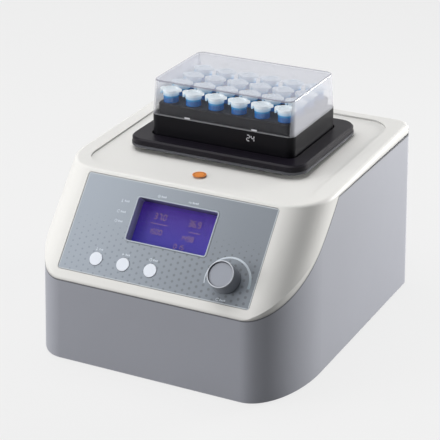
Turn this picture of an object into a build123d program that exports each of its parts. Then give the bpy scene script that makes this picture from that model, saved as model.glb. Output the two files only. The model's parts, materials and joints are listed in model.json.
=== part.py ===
from build123d import *
import os
from math import cos, radians, sin, tan

os.makedirs("parts", exist_ok=True)

# Thermal mixer for lab tubes.  Millimetres, +Z up.  The origin lies on the bench,
# under the middle of the instrument.  -Y is the front, where the control panel is.

# ---- Housing: a drafted body with rounded front corners ---------------------------
BODY_W = 232.4          # width at the foot of the side walls
BODY_D = 266.0          # depth at the foot of the front wall
DRAFT = 1.2             # lean of the moulded side and front walls, degrees
CORNER_X = 35.5         # front corner is an ellipse: half-axis across
CORNER_Y = 70.8         # and half-axis front to back
REAR_R = 16.0           # rear corner radius
SKIRT_Z = 2.0           # air gap under the housing's lower edge
WALL = 2.8              # wall of both mouldings

# ---- Sloping control face and top deck --------------------------------------------
SLOPE_Z = 71.5          # height where the sloping face leaves the front wall
SLOPE_TILT = 49.2       # slope of that face, degrees from level
CHEEK_R = 30.0          # roll between the sloping face and the side walls
DECK_FRONT_Z = 142.5    # height where the deck starts, above the sloping face
DECK_TILT = 1.27        # the deck rises gently to the rear, degrees
DECK_EDGE_R = 3.5       # soft edge all round the deck

# ---- Seam between housing and top cover --------------------------------------------
SEAM_FRONT_Z = 70.6     # height of the seam on the front wall
SEAM_SIDE_Z = 138.8     # height of the level seam on the side walls
SEAM_KINK_Y = -28.0     # where the level seam turns down beside the sloping face
SEAM_SAG = 7.6          # sag of the curved stretch below its chord
SEAM_GAP = 0.3          # open line between the two mouldings
LIP_T = 1.6             # locating lip of the housing, thickness
LIP_UP = 2.2            # and how far it stands into the cover
LIP_DOWN = 5.0          # and how far it runs down the wall
LIP_FIT = 0.15          # clearance between lip and cover

# ---- Tray and opening in the deck -----------------------------------------------------
TRAY_HALF_W = 98.5
TRAY_FRONT_Y = -60.0
TRAY_REAR_Y = 121.5
TRAY_R = 21.0
TRAY_DEEP = 1.6
TRAY_FLOOR = 2.4

# ---- Orbital drive ----------------------------------------------------------------------
ORBIT_R = 1.5           # the platform runs on a 3 mm circle
STAGE_Y = 35.8          # middle of the platform, front to back
AXIS_X = -ORBIT_R       # motor axis: the platform is centred with the crank to +X
BRIDGE_Z = 88.0         # underside of the bridge plate
BRIDGE_T = 3.0
BRIDGE_W = 176.0
BRIDGE_D = 118.0
MOTOR_R = 28.0
MOTOR_H = 44.0
SHAFT_R = 4.0
SHAFT_FIT = 0.05        # radial clearance of a turning shaft
HUB_R = 11.0
HUB_FOOT = 1.0          # gap between bridge plate and hub
HUB_H = 19.0
WEIGHT_R = 30.0
WEIGHT_H = 10.0
WEIGHT_LIFT = 2.0       # counterweight above the hub's foot
PIN_R = 5.0             # eccentric pin
BEARING_R = 13.0
BEARING_H = 8.0
PRESS_FIT = 0.02        # radial gap of a seated ring
IDLER_X = 56.0          # idler cranks, left and right of the motor
IDLER_R = 4.0
IDLER_PIN_GAP = 0.3     # the idler pins are the open pivots of the linkage
IDLER_HOUSING_R = 12.0
IDLER_HOUSING_H = 14.0
IDLER_FLANGE_R = 17.0
IDLER_FLANGE_T = 3.0
CRANK_R = 10.0
CRANK_T = 5.0
CRANK_LIFT = 0.5        # crank web above its housing

# ---- Orbiting stage ---------------------------------------------------------------------
CARRIER_Z = 114.0
CARRIER_T = 8.0
CARRIER_W = 152.0
CARRIER_D = 110.0
CARRIER_R = 12.0
POST_X = 67.5
POST_Y = 30.0
POST_R = 3.0
STAGE_W = 156.2         # black platform cover
STAGE_D = 117.0
STAGE_R = 14.0
STAGE_TOP_Z = 153.5
STAGE_COVER_T = 5.2
STAGE_BASE_T = 2.2      # grey base plate under the cover
STAGE_BASE_OUT = 0.5    # it stands this far out past the cover
STAGE_BEVEL = 1.3
HEATER_W = 127.4
HEATER_D = 85.0
HEATER_R = 5.0
HEATER_Z = 136.5
HEATER_T = 6.5
BUSH_X = 54.0
BUSH_Y = 34.0
BUSH_R = 4.0
OPENING_HALF_W = 73.0   # deck opening round the stage's neck
OPENING_HALF_D = 50.0
OPENING_R = 12.0

# ---- Tube block, tubes and lid ------------------------------------------------------------
BLOCK_W = 127.8         # footprint of a standard microplate
BLOCK_D = 85.5
BLOCK_R = 6.5
BLOCK_GAP = 1.3         # block to platform, all round
LEDGE_Z = 170.5         # the lid stands on this ledge
LEDGE_IN = 4.0          # width of that ledge, round the well plate
WELL_PLATE_R = 5.0
BLOCK_TOP_Z = 179.5
TUBE_COLUMNS = 6
TUBE_ROWS = 4
TUBE_PITCH_X = 20.6
TUBE_PITCH_Y = 19.8
TUBE_R = 5.4
WELL_GAP = 0.3
TUBE_TIP_R = 1.8
TUBE_TIP_Z = 147.5
TUBE_CONE_Z = 165.0
COLLAR_R = 6.3
COLLAR_Z = 180.0
CAP_R = 6.6
CAP_Z = 185.4
CAP_TOP_Z = 190.0
CAP_RIM_R = 7.1
CAP_RIM_T = 1.2
CAP_REACH = 9.4         # opening tab and hinge, out from the cap's middle
CAP_TAB_W = 7.0
CAP_LUG_T = 1.2
CAP_LUG_W = 5.0
CAP_DISH = 0.9          # recess in the top of the cap
CAP_WALL = 1.2
LID_TOP_Z = 200.0
LID_WALL = 1.5
LID_LEAN = 1.7          # each lid wall leans in by this much at the top
LID_EDGE_R = 1.4


def plan_outline(z, inset=0.0):
    """Plan outline of the body at height z, moved inwards by inset."""
    lean = (z - SKIRT_Z) * tan(radians(DRAFT))
    half = BODY_W / 2 - lean - inset
    front = -BODY_D / 2 + lean + inset
    rear = BODY_D / 2 - inset
    ax = CORNER_X - inset
    ay = CORNER_Y - inset
    r = REAR_R - inset
    edges = [
        Line((-half + ax, front), (half - ax, front)),
        EllipticalCenterArc((half - ax, front + ay), ax, ay, -90, arc_size=90),
        Line((half, front + ay), (half, rear - r)),
        CenterArc((half - r, rear - r), r, 0, 90),
        Line((half - r, rear), (-half + r, rear)),
        CenterArc((-half + r, rear - r), r, 90, 90),
        Line((-half, rear - r), (-half, front + ay)),
        EllipticalCenterArc((-half + ax, front + ay), ax, ay, 180, arc_size=90),
    ]
    return Pos(0, 0, z) * make_face(edges)


def column(inset=0.0, low=SKIRT_Z, high=170.0):
    """The drafted body as an upright column."""
    return loft([plan_outline(low, inset), plan_outline(high, inset)], ruled=True)


def front_wall_y(z):
    return -BODY_D / 2 + (z - SKIRT_Z) * tan(radians(DRAFT))


# The sloping face: local x across, local y up the slope, local z out of the face.
SLOPE = Plane(
    origin=(0, front_wall_y(SLOPE_Z), SLOPE_Z),
    x_dir=(1, 0, 0),
    z_dir=(0, -sin(radians(SLOPE_TILT)), cos(radians(SLOPE_TILT))),
)
SLOPE_LENGTH = (DECK_FRONT_Z - SLOPE_Z) / sin(radians(SLOPE_TILT))
DECK = Plane(
    origin=SLOPE.from_local_coords((0, SLOPE_LENGTH, 0)),
    x_dir=(1, 0, 0),
    z_dir=(0, -sin(radians(DECK_TILT)), cos(radians(DECK_TILT))),
)
REACH = 2 * BODY_D


def deck_z(y):
    return DECK_FRONT_Z + (y - DECK.origin.Y) * tan(radians(DECK_TILT))


def slope_section(s, inset):
    """Section across the sloping face: flat top, rolled cheeks, leaning sides."""
    tangent_z = SLOPE_Z + s * sin(radians(SLOPE_TILT)) - CHEEK_R * cos(radians(SLOPE_TILT))
    half = BODY_W / 2 - (tangent_z - SKIRT_Z) * tan(radians(DRAFT)) - inset
    r = CHEEK_R - inset
    edges = [
        Line((-half + r, -inset), (half - r, -inset)),
        CenterArc((half - r, -inset - r), r, 0, 90),
        Line((half, -inset - r), (half, -REACH)),
        Line((half, -REACH), (-half, -REACH)),
        Line((-half, -REACH), (-half, -inset - r)),
        CenterArc((-half + r, -inset - r), r, 90, 90),
    ]
    place = Plane(
        origin=SLOPE.from_local_coords((0, s, 0)),
        x_dir=(1, 0, 0),
        z_dir=(0, -cos(radians(SLOPE_TILT)), -sin(radians(SLOPE_TILT))),
    )
    return place * make_face(edges)


def envelope(inset=0.0):
    """Closed outer form of the body, moved inwards by inset."""
    slope = loft([slope_section(-BODY_D, inset), slope_section(REACH, inset)], ruled=True)
    half_space = Pos(0, 0, -REACH) * Box(REACH, REACH, REACH, align=CENTRE_LOW)
    below_deck = DECK * Pos(0, 0, -inset) * half_space
    return column(inset) & slope & below_deck


def above_seam(lift=0.0):
    """Everything above the seam, with the seam raised by lift."""
    front = front_wall_y(SEAM_FRONT_Z)
    edges = [
        Line((-REACH, SEAM_FRONT_Z), (front, SEAM_FRONT_Z)),
        SagittaArc((front, SEAM_FRONT_Z), (SEAM_KINK_Y, SEAM_SIDE_Z), -SEAM_SAG),
        Line((SEAM_KINK_Y, SEAM_SIDE_Z), (REACH, SEAM_SIDE_Z)),
        Line((REACH, SEAM_SIDE_Z), (REACH, REACH)),
        Line((REACH, REACH), (-REACH, REACH)),
        Line((-REACH, REACH), (-REACH, SEAM_FRONT_Z)),
    ]
    profile = Plane.YZ * make_face(edges)
    return Pos(0, 0, lift) * extrude(profile, BODY_W, both=True)


# ---- Control panel -------------------------------------------------------------------------
# Places on the sloping face are (across, up the slope from its lower edge).
OVERLAY_W = 167.2
OVERLAY_H = 82.0
OVERLAY_S = 49.4        # middle of the overlay, up the slope
OVERLAY_R = 2.6
OVERLAY_T = 0.8
PANEL_RECESS = 1.0      # the overlay lies in a recess of the cover
LCD_X = 0.8
LCD_S = 59.9
LCD_W = 71.6            # outside of the display bezel
LCD_H = 37.8
LCD_R = 2.6             # its corner radius
BEZEL_T = 1.0
BEZEL_UP = 0.2          # bezel above the face of the slope
BEZEL_FLANGE = 2.2
BEZEL_FLANGE_T = 1.4
LCD_DEEP = 10.0         # glass below the face of the slope
GLASS_T = 1.2
LCD_MODULE_T = 4.5
LCD_MODULE_OUT = 3.0    # module past the bezel, all round
BOARD_T = 1.6
BOARD_W = 162.0
BOARD_H = 72.0
BOARD_HOLE_X = 76.0
BOARD_HOLE_S = 31.0
BOARD_BOSS_R = 3.6
PANEL_FIT = 0.25        # gap round whatever passes through the panel

BUTTON_XS = [-53.2, -29.15, -5.1]
BUTTON_S = 21.9
BUTTON_R = 5.45
BUTTON_UP = 0.4
BUTTON_TRAVEL = 0.7
BUTTON_FLANGE_R = 6.8
BUTTON_FLANGE_T = 1.2
BUTTON_STEM_R = 3.0
PLUNGER_R = 1.7
PLUNGER_FIT = 0.08
SWITCH_W = 6.4
SWITCH_T = 3.5
GUIDE_DEEP = 2.7        # depth of the plunger's guide in the switch

KNOB_X = 58.7
KNOB_S = 27.9
KNOB_R = 11.7
KNOB_TOP_R = 10.9
KNOB_H = 12.8
KNOB_GAP = 1.1          # knob above the overlay
KNOB_TRAVEL = 0.6
KNOB_RIM = 1.0
KNOB_DISH = 1.8
KNOB_DISC_T = 0.5
ENCODER_W = 13.0
ENCODER_T = 6.2
ENCODER_SHAFT_R = 3.0
ENCODER_BUSH_R = 3.7
SLIDER_T = 0.9
SLIDER_GAP = 0.1

# ---- Base -------------------------------------------------------------------------------------
PLATE_Z = 4.0           # underside of the bottom plate, and height of the feet
PLATE_T = 1.5
PLATE_GAP = 0.4
FOOT_FRONT = (BODY_W / 2 - 30.2, -BODY_D / 2 + 28.0)
FOOT_REAR = (BODY_W / 2 - 46.2, BODY_D / 2 - 27.0)
FOOT_R = 9.0
FOOT_STUD_R = 3.0
FOOT_STUD_UP = 3.0
SCREW_R = 2.0
SCREW_HEAD_R = 3.6
SCREW_HEAD_T = 1.8
SCREW_HOLE_R = 2.2
BOSS_R = 5.0
BASE_BOSS_H = 12.0
BASE_BOSS_REAR = (BODY_W / 2 - 46.2, BODY_D / 2 - 14.0)
BASE_BOSS_FRONT = (BODY_W / 2 - 56.2, -BODY_D / 2 + 14.0)
RIB_T = 3.0
PILLAR_X = BODY_W / 2 - 19.2    # pillars that carry the top cover
PILLAR_YS = [-10.0, BODY_D / 2 - 28.0]
PILLAR_R = 6.0
PILLAR_TOP_Z = 120.0
PILLAR_SEAT = 14.0      # length left for the screw's head to pull on
COVER_BOSS_GRIP = 10.0  # screw length inside the cover's boss
VENT_COUNT = 9
VENT_PITCH = 13.0
VENT_L = 46.0
VENT_W = 3.0
VENT_Y = -62.0

# ---- Rear wall ---------------------------------------------------------------------------------
FLANGE_T = 1.4          # flanges standing on the rear wall
INLET_X = 50.2 - BODY_W / 2
INLET_Z = 42.0
INLET_W = 28.0
INLET_H = 36.0
INLET_DEEP = 24.0
INLET_FLANGE = 3.0
SOCKET_W = 24.2
SOCKET_H = 16.4
SOCKET_DEEP = 17.4
SOCKET_UP = 7.0
SOCKET_CORNER = 3.0
PIN_W = 2.0
PIN_H = 4.0
PIN_PITCH = 7.0
PIN_DROP = 2.0
PIN_SHORT = 5.4         # pin tips below the inlet's face
PIN_TAIL = 5.0
DRAWER_W = 22.0
DRAWER_H = 7.4
DRAWER_DEEP = 21.0
DRAWER_DOWN = 11.5
DRAWER_FIT = 0.2
FUSE_R = 2.6
FUSE_L = 18.0
FUSE_PITCH = 10.0
ROCKER_Z = 88.0
ROCKER_FRAME_W = 14.8
ROCKER_FRAME_H = 20.0
ROCKER_FRAME_DEEP = 15.0
ROCKER_BEZEL = 1.4
ROCKER_W = 11.0
ROCKER_R = 8.2
ROCKER_GAP = 0.4
ROCKER_IN = 1.6         # pivot below the rear wall's face
ROCKER_FACE = 3.2       # rocker's faces in front of its pivot
ROCKER_TILT = 10.0      # each face leans this much; the rocker rests at one end
ROCKER_PIN_R = 1.5
FAN_X = BODY_W / 2 - 70.2
FAN_Z = 66.0
FAN_SIZE = 60.0
FAN_T = 16.0
FAN_BORE_R = 27.8
FAN_HOLE = 25.0
FAN_BLADES = 7
BLADE_R = 27.1
BLADE_TILT = 40.0
BLADE_CHORD = 11.0
BLADE_T = 1.3
ROTOR_R = 12.0
ROTOR_L = 11.0
SPINDLE_R = 1.5
FAN_BASE_R = 13.0
FAN_BASE_T = 2.5
GUARD_T = 2.1
GUARD_R = 30.5
GUARD_RING = 1.3
GUARD_RINGS = 4
GUARD_SPOKE = 2.0
EAR_R = 4.6

# ---- Boards on the bottom plate ------------------------------------------------------------------
SPACER_H = 6.0
SPACER_R = 2.6
SUPPLY_AT = (0.0, -62.0)
SUPPLY_SIZE = (118.0, 66.0)
DRIVER_AT = (40.0, 62.0)
DRIVER_SIZE = (62.0, 44.0)
SPACER_INSET = 4.5

BASE_TOP = PLATE_Z + PLATE_T
CENTRE_LOW = (Align.CENTER, Align.CENTER, Align.MIN)


def rod(x, y, low, high, r):
    """Upright round bar or hole."""
    return Pos(x, y, low) * Cylinder(r, high - low, align=CENTRE_LOW)


def slab(width, depth, r, low, high, x=0.0, y=0.0):
    """Upright plate with rounded corners."""
    return Pos(x, y, low) * extrude(RectangleRounded(width, depth, r), high - low)


def on_slope(x, s, k=0.0):
    """Place on the sloping face, k above it."""
    return SLOPE * Pos(x, s, k)


def slope_rod(x, s, low, high, r):
    """Round bar or hole square to the sloping face."""
    return on_slope(x, s, low) * Cylinder(r, high - low, align=CENTRE_LOW)


def slope_slab(width, height, r, low, high, x, s):
    """Plate with rounded corners, parallel to the sloping face."""
    outline = RectangleRounded(width, height, r) if r > 0 else Rectangle(width, height)
    return on_slope(x, s, low) * extrude(outline, high - low)


def rear_rod(x, z, low, high, r):
    """Round bar or hole along Y."""
    return Pos(x, low, z) * Rot(-90, 0, 0) * Cylinder(r, high - low, align=CENTRE_LOW)


def rear_slab(width, height, r, low, high, x, z):
    """Plate with rounded corners, parallel to the rear wall."""
    outline = RectangleRounded(width, height, r) if r > 0 else Rectangle(width, height)
    return Pos(x, low, z) * Rot(-90, 0, 0) * extrude(outline, high - low)


def four(x, y):
    """The corners of a rectangle centred on the origin."""
    return [(x, y), (-x, y), (-x, -y), (x, -y)]


def both_sides(point):
    return [point, (-point[0], point[1])]


def screw(x, y, low, high, head_up=True, r=SCREW_R):
    """Pan-head screw along Z: its shank runs from low to high."""
    if head_up:
        return rod(x, y, low, high, r) + rod(x, y, high, high + SCREW_HEAD_T, SCREW_HEAD_R)
    return rod(x, y, low, high, r) + rod(x, y, low - SCREW_HEAD_T, low, SCREW_HEAD_R)


def save(name, *solids):
    """Write one node; several solids become one group."""
    shapes = []
    for solid in solids:
        shapes.extend(solid.solids())
    export_step(Compound(shapes), os.path.join("parts", name + ".step"))


# ---- Mouldings ------------------------------------------------------------------------------------
REAR_FACE = BODY_D / 2
REAR_INNER = REAR_FACE - WALL
PILLARS = [(x, y) for y in PILLAR_YS for x in (-PILLAR_X, PILLAR_X)]
BASE_BOSSES = both_sides(BASE_BOSS_REAR) + both_sides(BASE_BOSS_FRONT)
FEET = both_sides(FOOT_FRONT) + both_sides(FOOT_REAR)
BUSHES = [(x, STAGE_Y + y) for x, y in four(BUSH_X, BUSH_Y)]
POSTS = [(x, STAGE_Y + y) for x, y in four(POST_X, POST_Y)]
BOARD_HOLES = [(x, OVERLAY_S + s) for x, s in four(BOARD_HOLE_X, BOARD_HOLE_S)]


def rear_cutouts():
    """Holes in the rear wall for the inlet, the switch and the fan."""
    low = REAR_FACE - 2 * WALL
    high = REAR_FACE + WALL
    inlet = rear_slab(INLET_W + 2 * PANEL_FIT, INLET_H + 2 * PANEL_FIT, 1.0, low, high, INLET_X, INLET_Z)
    switch = rear_slab(
        ROCKER_FRAME_W + 2 * PANEL_FIT, ROCKER_FRAME_H + 2 * PANEL_FIT, 1.0, low, high, INLET_X, ROCKER_Z
    )
    fan = rear_rod(FAN_X, FAN_Z, low, high, FAN_BORE_R)
    for x, z in four(FAN_HOLE, FAN_HOLE):
        fan += rear_rod(FAN_X + x, FAN_Z + z, low, high, SCREW_HOLE_R)
    return inlet + switch + fan


def lower_housing():
    """Grey shell, open below and above, with a locating lip along the seam."""
    inside = column(WALL)
    shell = column() - inside - above_seam()
    lip_low = (inside - column(WALL + LIP_T) - above_seam()) & above_seam(-LIP_DOWN)
    lip_ring = column(WALL + LIP_FIT) - column(WALL + LIP_T)
    lip_high = (lip_ring & above_seam() & envelope(WALL + LIP_FIT)) - above_seam(LIP_UP)
    shell = shell + lip_low + lip_high
    for x, y in PILLARS:
        side = 1 if x > 0 else -1
        pillar = rod(x, y, BASE_TOP, PILLAR_TOP_Z, PILLAR_R)
        rib = Pos(x, y, BASE_TOP) * Box(
            BODY_W / 2 - PILLAR_X, RIB_T, PILLAR_TOP_Z - PILLAR_SEAT - BASE_TOP,
            align=(Align.MIN if side > 0 else Align.MAX, Align.CENTER, Align.MIN),
        )
        shell += pillar + (rib & column(WALL / 2))
        shell -= rod(x, y, 0, PILLAR_TOP_Z - PILLAR_SEAT, SCREW_HEAD_R + 2 * PANEL_FIT)
        shell -= rod(x, y, 0, PILLAR_TOP_Z + 1, SCREW_HOLE_R)
    for x, y in BASE_BOSSES:
        rear = y > 0
        rib = Pos(x, y, BASE_TOP) * Box(
            RIB_T, BODY_D / 2 - abs(y), BASE_BOSS_H,
            align=(Align.CENTER, Align.MIN if rear else Align.MAX, Align.MIN),
        )
        boss = rod(x, y, BASE_TOP, BASE_TOP + BASE_BOSS_H, BOSS_R)
        shell += boss + (rib & column(WALL / 2))
        shell -= rod(x, y, 0, BASE_TOP + BASE_BOSS_H - RIB_T, SCREW_R + PRESS_FIT)
    return shell - rear_cutouts()


def tray(grow, low, high):
    """Block under the tray's outline, measured down from the deck's plane."""
    middle = (TRAY_FRONT_Y + TRAY_REAR_Y) / 2 - DECK.origin.Y
    outline = RectangleRounded(
        2 * (TRAY_HALF_W + grow), TRAY_REAR_Y - TRAY_FRONT_Y + 2 * grow, TRAY_R + grow
    )
    return DECK * Pos(0, middle, low) * extrude(outline, high - low)


def top_cover():
    """White shell: soft-edged deck with a tray, sloping face with its recess, rolled cheeks."""
    outer = envelope()
    deck_face = outer.faces().sort_by(Axis.Z)[-1]
    outer = fillet(deck_face.edges(), DECK_EDGE_R)
    cover = (outer - envelope(WALL)) & above_seam(SEAM_GAP)
    cover += tray(WALL, -TRAY_DEEP - TRAY_FLOOR, -WALL / 2)
    for x, y in PILLARS:
        cover += rod(x, y, PILLAR_TOP_Z, deck_z(y) - WALL / 2, BOSS_R)
    for x, s in BOARD_HOLES:
        cover += slope_rod(x, s, BOARD_TOP_K, -WALL / 2, BOARD_BOSS_R)
    cover -= tray(0, -TRAY_DEEP, TRAY_DEEP)
    cover -= slab(
        2 * OPENING_HALF_W, 2 * OPENING_HALF_D, OPENING_R, PILLAR_TOP_Z, LEDGE_Z, AXIS_X, STAGE_Y
    )
    for x, y in PILLARS:
        cover -= rod(x, y, PILLAR_TOP_Z, PILLAR_TOP_Z + COVER_BOSS_GRIP + 1, SCREW_R + PRESS_FIT)
    for x, s in BOARD_HOLES:
        cover -= slope_rod(x, s, BOARD_TOP_K - 1, -WALL, SCREW_R * 0.75 + PRESS_FIT)
    cover -= slope_slab(
        OVERLAY_W + 2 * PANEL_FIT, OVERLAY_H + 2 * PANEL_FIT, OVERLAY_R, -PANEL_RECESS, WALL, 0, OVERLAY_S
    )
    return cover - panel_holes()


def panel_holes():
    """What passes through both the cover's sloping wall and the overlay."""
    holes = slope_slab(
        LCD_W + 2 * PANEL_FIT, LCD_H + 2 * PANEL_FIT, LCD_R + PANEL_FIT, -2 * WALL, WALL, LCD_X, LCD_S
    )
    for x in BUTTON_XS:
        holes += slope_rod(x, BUTTON_S, -2 * WALL, WALL, BUTTON_R + PANEL_FIT)
    return holes + slope_rod(KNOB_X, KNOB_S, -2 * WALL, WALL, ENCODER_BUSH_R + PANEL_FIT)


# ---- Panel pieces, from the face of the slope inwards ------------------------------------------------
GLASS_K = -LCD_DEEP
MODULE_K = GLASS_K - GLASS_T
BOARD_TOP_K = MODULE_K - LCD_MODULE_T
BOARD_LOW_K = BOARD_TOP_K - BOARD_T
OVERLAY_TOP_K = -PANEL_RECESS + OVERLAY_T


def control_overlay():
    plate = slope_slab(OVERLAY_W, OVERLAY_H, OVERLAY_R, -PANEL_RECESS, OVERLAY_TOP_K, 0, OVERLAY_S)
    return plate - panel_holes()


def lcd_bezel():
    """Frame round the display, with a flange that seats under the cover's wall."""
    outer = slope_slab(LCD_W, LCD_H, LCD_R, GLASS_K, BEZEL_UP, LCD_X, LCD_S)
    width = LCD_W + 2 * BEZEL_FLANGE
    height = LCD_H + 2 * BEZEL_FLANGE
    flange = slope_slab(width, height, LCD_R, -WALL - BEZEL_FLANGE_T, -WALL, LCD_X, LCD_S)
    width = LCD_W - 2 * BEZEL_T
    height = LCD_H - 2 * BEZEL_T
    return outer + flange - slope_slab(width, height, LCD_R - BEZEL_T, GLASS_K, WALL, LCD_X, LCD_S)


def lcd_window():
    return slope_slab(
        LCD_W + 2 * BEZEL_FLANGE, LCD_H + 2 * BEZEL_FLANGE, LCD_R, MODULE_K, GLASS_K, LCD_X, LCD_S
    )


def lcd_module():
    return slope_slab(
        LCD_W + 2 * LCD_MODULE_OUT, LCD_H + 2 * LCD_MODULE_OUT, 0, BOARD_TOP_K, MODULE_K, LCD_X, LCD_S
    )


def control_board():
    board = slope_slab(BOARD_W, BOARD_H, 2.0, BOARD_LOW_K, BOARD_TOP_K, 0, OVERLAY_S)
    for x, s in BOARD_HOLES:
        board -= slope_rod(x, s, BOARD_LOW_K - 1, BOARD_TOP_K + 1, SCREW_R * 0.75 + PANEL_FIT)
    return board


def board_screws():
    screws = []
    for x, s in BOARD_HOLES:
        shank = slope_rod(x, s, BOARD_LOW_K, -2 * WALL, SCREW_R * 0.75)
        head = slope_rod(x, s, BOARD_LOW_K - SCREW_HEAD_T, BOARD_LOW_K, SCREW_R * 1.4)
        screws.append(shank + head)
    return screws


def button_switch(x):
    """Tact switch on the board, with a guide for the button's plunger."""
    top = BOARD_TOP_K + SWITCH_T
    body = slope_slab(SWITCH_W, SWITCH_W, 0.6, BOARD_TOP_K, top, x, BUTTON_S)
    return body - slope_rod(x, BUTTON_S, top - GUIDE_DEEP, top + 1, PLUNGER_R + PLUNGER_FIT)


def button(x):
    """Round cap, retaining flange, stem and plunger."""
    flange_top = -WALL - SEAM_GAP
    switch_top = BOARD_TOP_K + SWITCH_T
    stem_low = switch_top + BUTTON_TRAVEL + SEAM_GAP
    plunger_low = switch_top - GUIDE_DEEP + BUTTON_TRAVEL + SEAM_GAP
    cap = slope_rod(x, BUTTON_S, flange_top, BUTTON_UP, BUTTON_R)
    cap = fillet(cap.faces().sort_by(SLOPE_AXIS)[-1].edges(), 0.35)
    flange = slope_rod(x, BUTTON_S, flange_top - BUTTON_FLANGE_T, flange_top, BUTTON_FLANGE_R)
    stem = slope_rod(x, BUTTON_S, stem_low, flange_top, BUTTON_STEM_R)
    return cap + flange + stem + slope_rod(x, BUTTON_S, plunger_low, stem_low, PLUNGER_R)


SLOPE_AXIS = Axis(SLOPE.origin, SLOPE.z_dir)
ENCODER_FLOOR_K = BOARD_TOP_K + KNOB_TRAVEL + SEAM_GAP
SHAFT_LOW_K = ENCODER_FLOOR_K + KNOB_TRAVEL + SEAM_GAP + SLIDER_T + SLIDER_GAP
KNOB_LOW_K = OVERLAY_TOP_K + KNOB_GAP
KNOB_TOP_K = KNOB_LOW_K + KNOB_H


def encoder_body():
    """Square base and threaded bush that stands in the panel."""
    top = BOARD_TOP_K + ENCODER_T
    body = slope_slab(ENCODER_W, ENCODER_W, 0.8, BOARD_TOP_K, top, KNOB_X, KNOB_S)
    body += slope_rod(KNOB_X, KNOB_S, top, OVERLAY_TOP_K, ENCODER_BUSH_R)
    return body - slope_rod(KNOB_X, KNOB_S, ENCODER_FLOOR_K, WALL, ENCODER_SHAFT_R + SHAFT_FIT)


def encoder_slider():
    """Small disc under the shaft that works the push contact."""
    low = SHAFT_LOW_K - SLIDER_GAP - SLIDER_T
    return slope_rod(KNOB_X, KNOB_S, low, low + SLIDER_T, ENCODER_SHAFT_R)


def encoder_shaft():
    return slope_rod(KNOB_X, KNOB_S, SHAFT_LOW_K, KNOB_TOP_K - 2 * WALL, ENCODER_SHAFT_R)


def knob():
    """Turned knob: slight taper, rounded rim and a dished face."""
    bore = ENCODER_SHAFT_R + PRESS_FIT
    bore_top = KNOB_H - 2 * WALL
    shoulder = KNOB_H - KNOB_RIM / 2
    dish_r = KNOB_TOP_R - KNOB_RIM
    edges = [
        Line((bore, 0), (KNOB_R, 0)),
        Line((KNOB_R, 0), (KNOB_R, 1.5)),
        Line((KNOB_R, 1.5), (KNOB_TOP_R, shoulder)),
        TangentArc((KNOB_TOP_R, shoulder), (dish_r, shoulder), tangent=(0, 1)),
        Line((dish_r, shoulder), (dish_r, KNOB_H - KNOB_DISH)),
        Line((dish_r, KNOB_H - KNOB_DISH), (0, KNOB_H - KNOB_DISH)),
        Line((0, KNOB_H - KNOB_DISH), (0, bore_top)),
        Line((0, bore_top), (bore, bore_top)),
        Line((bore, bore_top), (bore, 0)),
    ]
    profile = Plane.XZ * make_face(edges)
    return on_slope(KNOB_X, KNOB_S, KNOB_LOW_K) * revolve(profile, Axis.Z)


def knob_disc():
    """Face disc lying in the knob's dish."""
    low = KNOB_TOP_K - KNOB_DISH
    return slope_rod(KNOB_X, KNOB_S, low, low + KNOB_DISC_T, KNOB_TOP_R - KNOB_RIM - PRESS_FIT)


# ---- Base pieces -----------------------------------------------------------------------------------


def bottom_plate():
    """Sheet floor with vents, seated between the housing's walls."""
    outline = plan_outline(PLATE_Z, WALL + PLATE_GAP)
    plate = extrude(outline, PLATE_T)
    for x, y in BASE_BOSSES:
        plate -= rod(x, y, 0, BASE_TOP + 1, SCREW_HOLE_R)
    for x, y in PILLARS:
        plate -= rod(x, y, 0, BASE_TOP + 1, SCREW_HEAD_R + 2 * PANEL_FIT)
    for x, y in FEET:
        plate -= rod(x, y, 0, BASE_TOP + 1, FOOT_STUD_R + PRESS_FIT)
    for x, y in BRIDGE_PILLARS:
        plate -= rod(x, y, 0, BASE_TOP + 1, SCREW_HOLE_R)
    first = -(VENT_COUNT - 1) / 2 * VENT_PITCH
    for i in range(VENT_COUNT):
        plate -= slab(VENT_W, VENT_L, VENT_W * 0.49, 0, BASE_TOP + 1, first + i * VENT_PITCH, VENT_Y)
    return plate


def rubber_foot(x, y):
    """Turned rubber foot with a stud pressed through the bottom plate."""
    foot = fillet(rod(x, y, 0, PLATE_Z, FOOT_R).edges().filter_by(GeomType.CIRCLE).sort_by(Axis.Z)[0], 1.0)
    return foot + rod(x, y, PLATE_Z, PLATE_Z + FOOT_STUD_UP, FOOT_STUD_R)


def base_screw(x, y):
    return screw(x, y, PLATE_Z, BASE_TOP + BASE_BOSS_H / 2, head_up=False)


def cover_screw(x, y):
    seat = PILLAR_TOP_Z - PILLAR_SEAT
    return screw(x, y, seat, PILLAR_TOP_Z + COVER_BOSS_GRIP, head_up=False)


def spacers(at, size):
    inset = SPACER_INSET
    return [
        rod(at[0] + x, at[1] + y, BASE_TOP, BASE_TOP + SPACER_H, SPACER_R)
        for x, y in four(size[0] / 2 - inset, size[1] / 2 - inset)
    ]


def board(at, size):
    low = BASE_TOP + SPACER_H
    return slab(size[0], size[1], 2.0, low, low + BOARD_T, at[0], at[1])


TRANSFORMER = (34, 30, 25)
TRANSFORMER_X = -34       # from the middle of the supply board
TRANSFORMER_EDGE = 2.5
SINK_X = 38
SINK_BASE = (24, 50, 4)
SINK_FINS = 5
SINK_FIN_PITCH = 5
SINK_FIN_T = 1.6
SINK_FIN_H = 18
CAPACITOR_R = 8
CAPACITOR_H = 24
CAPACITOR_Y = 16


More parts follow.
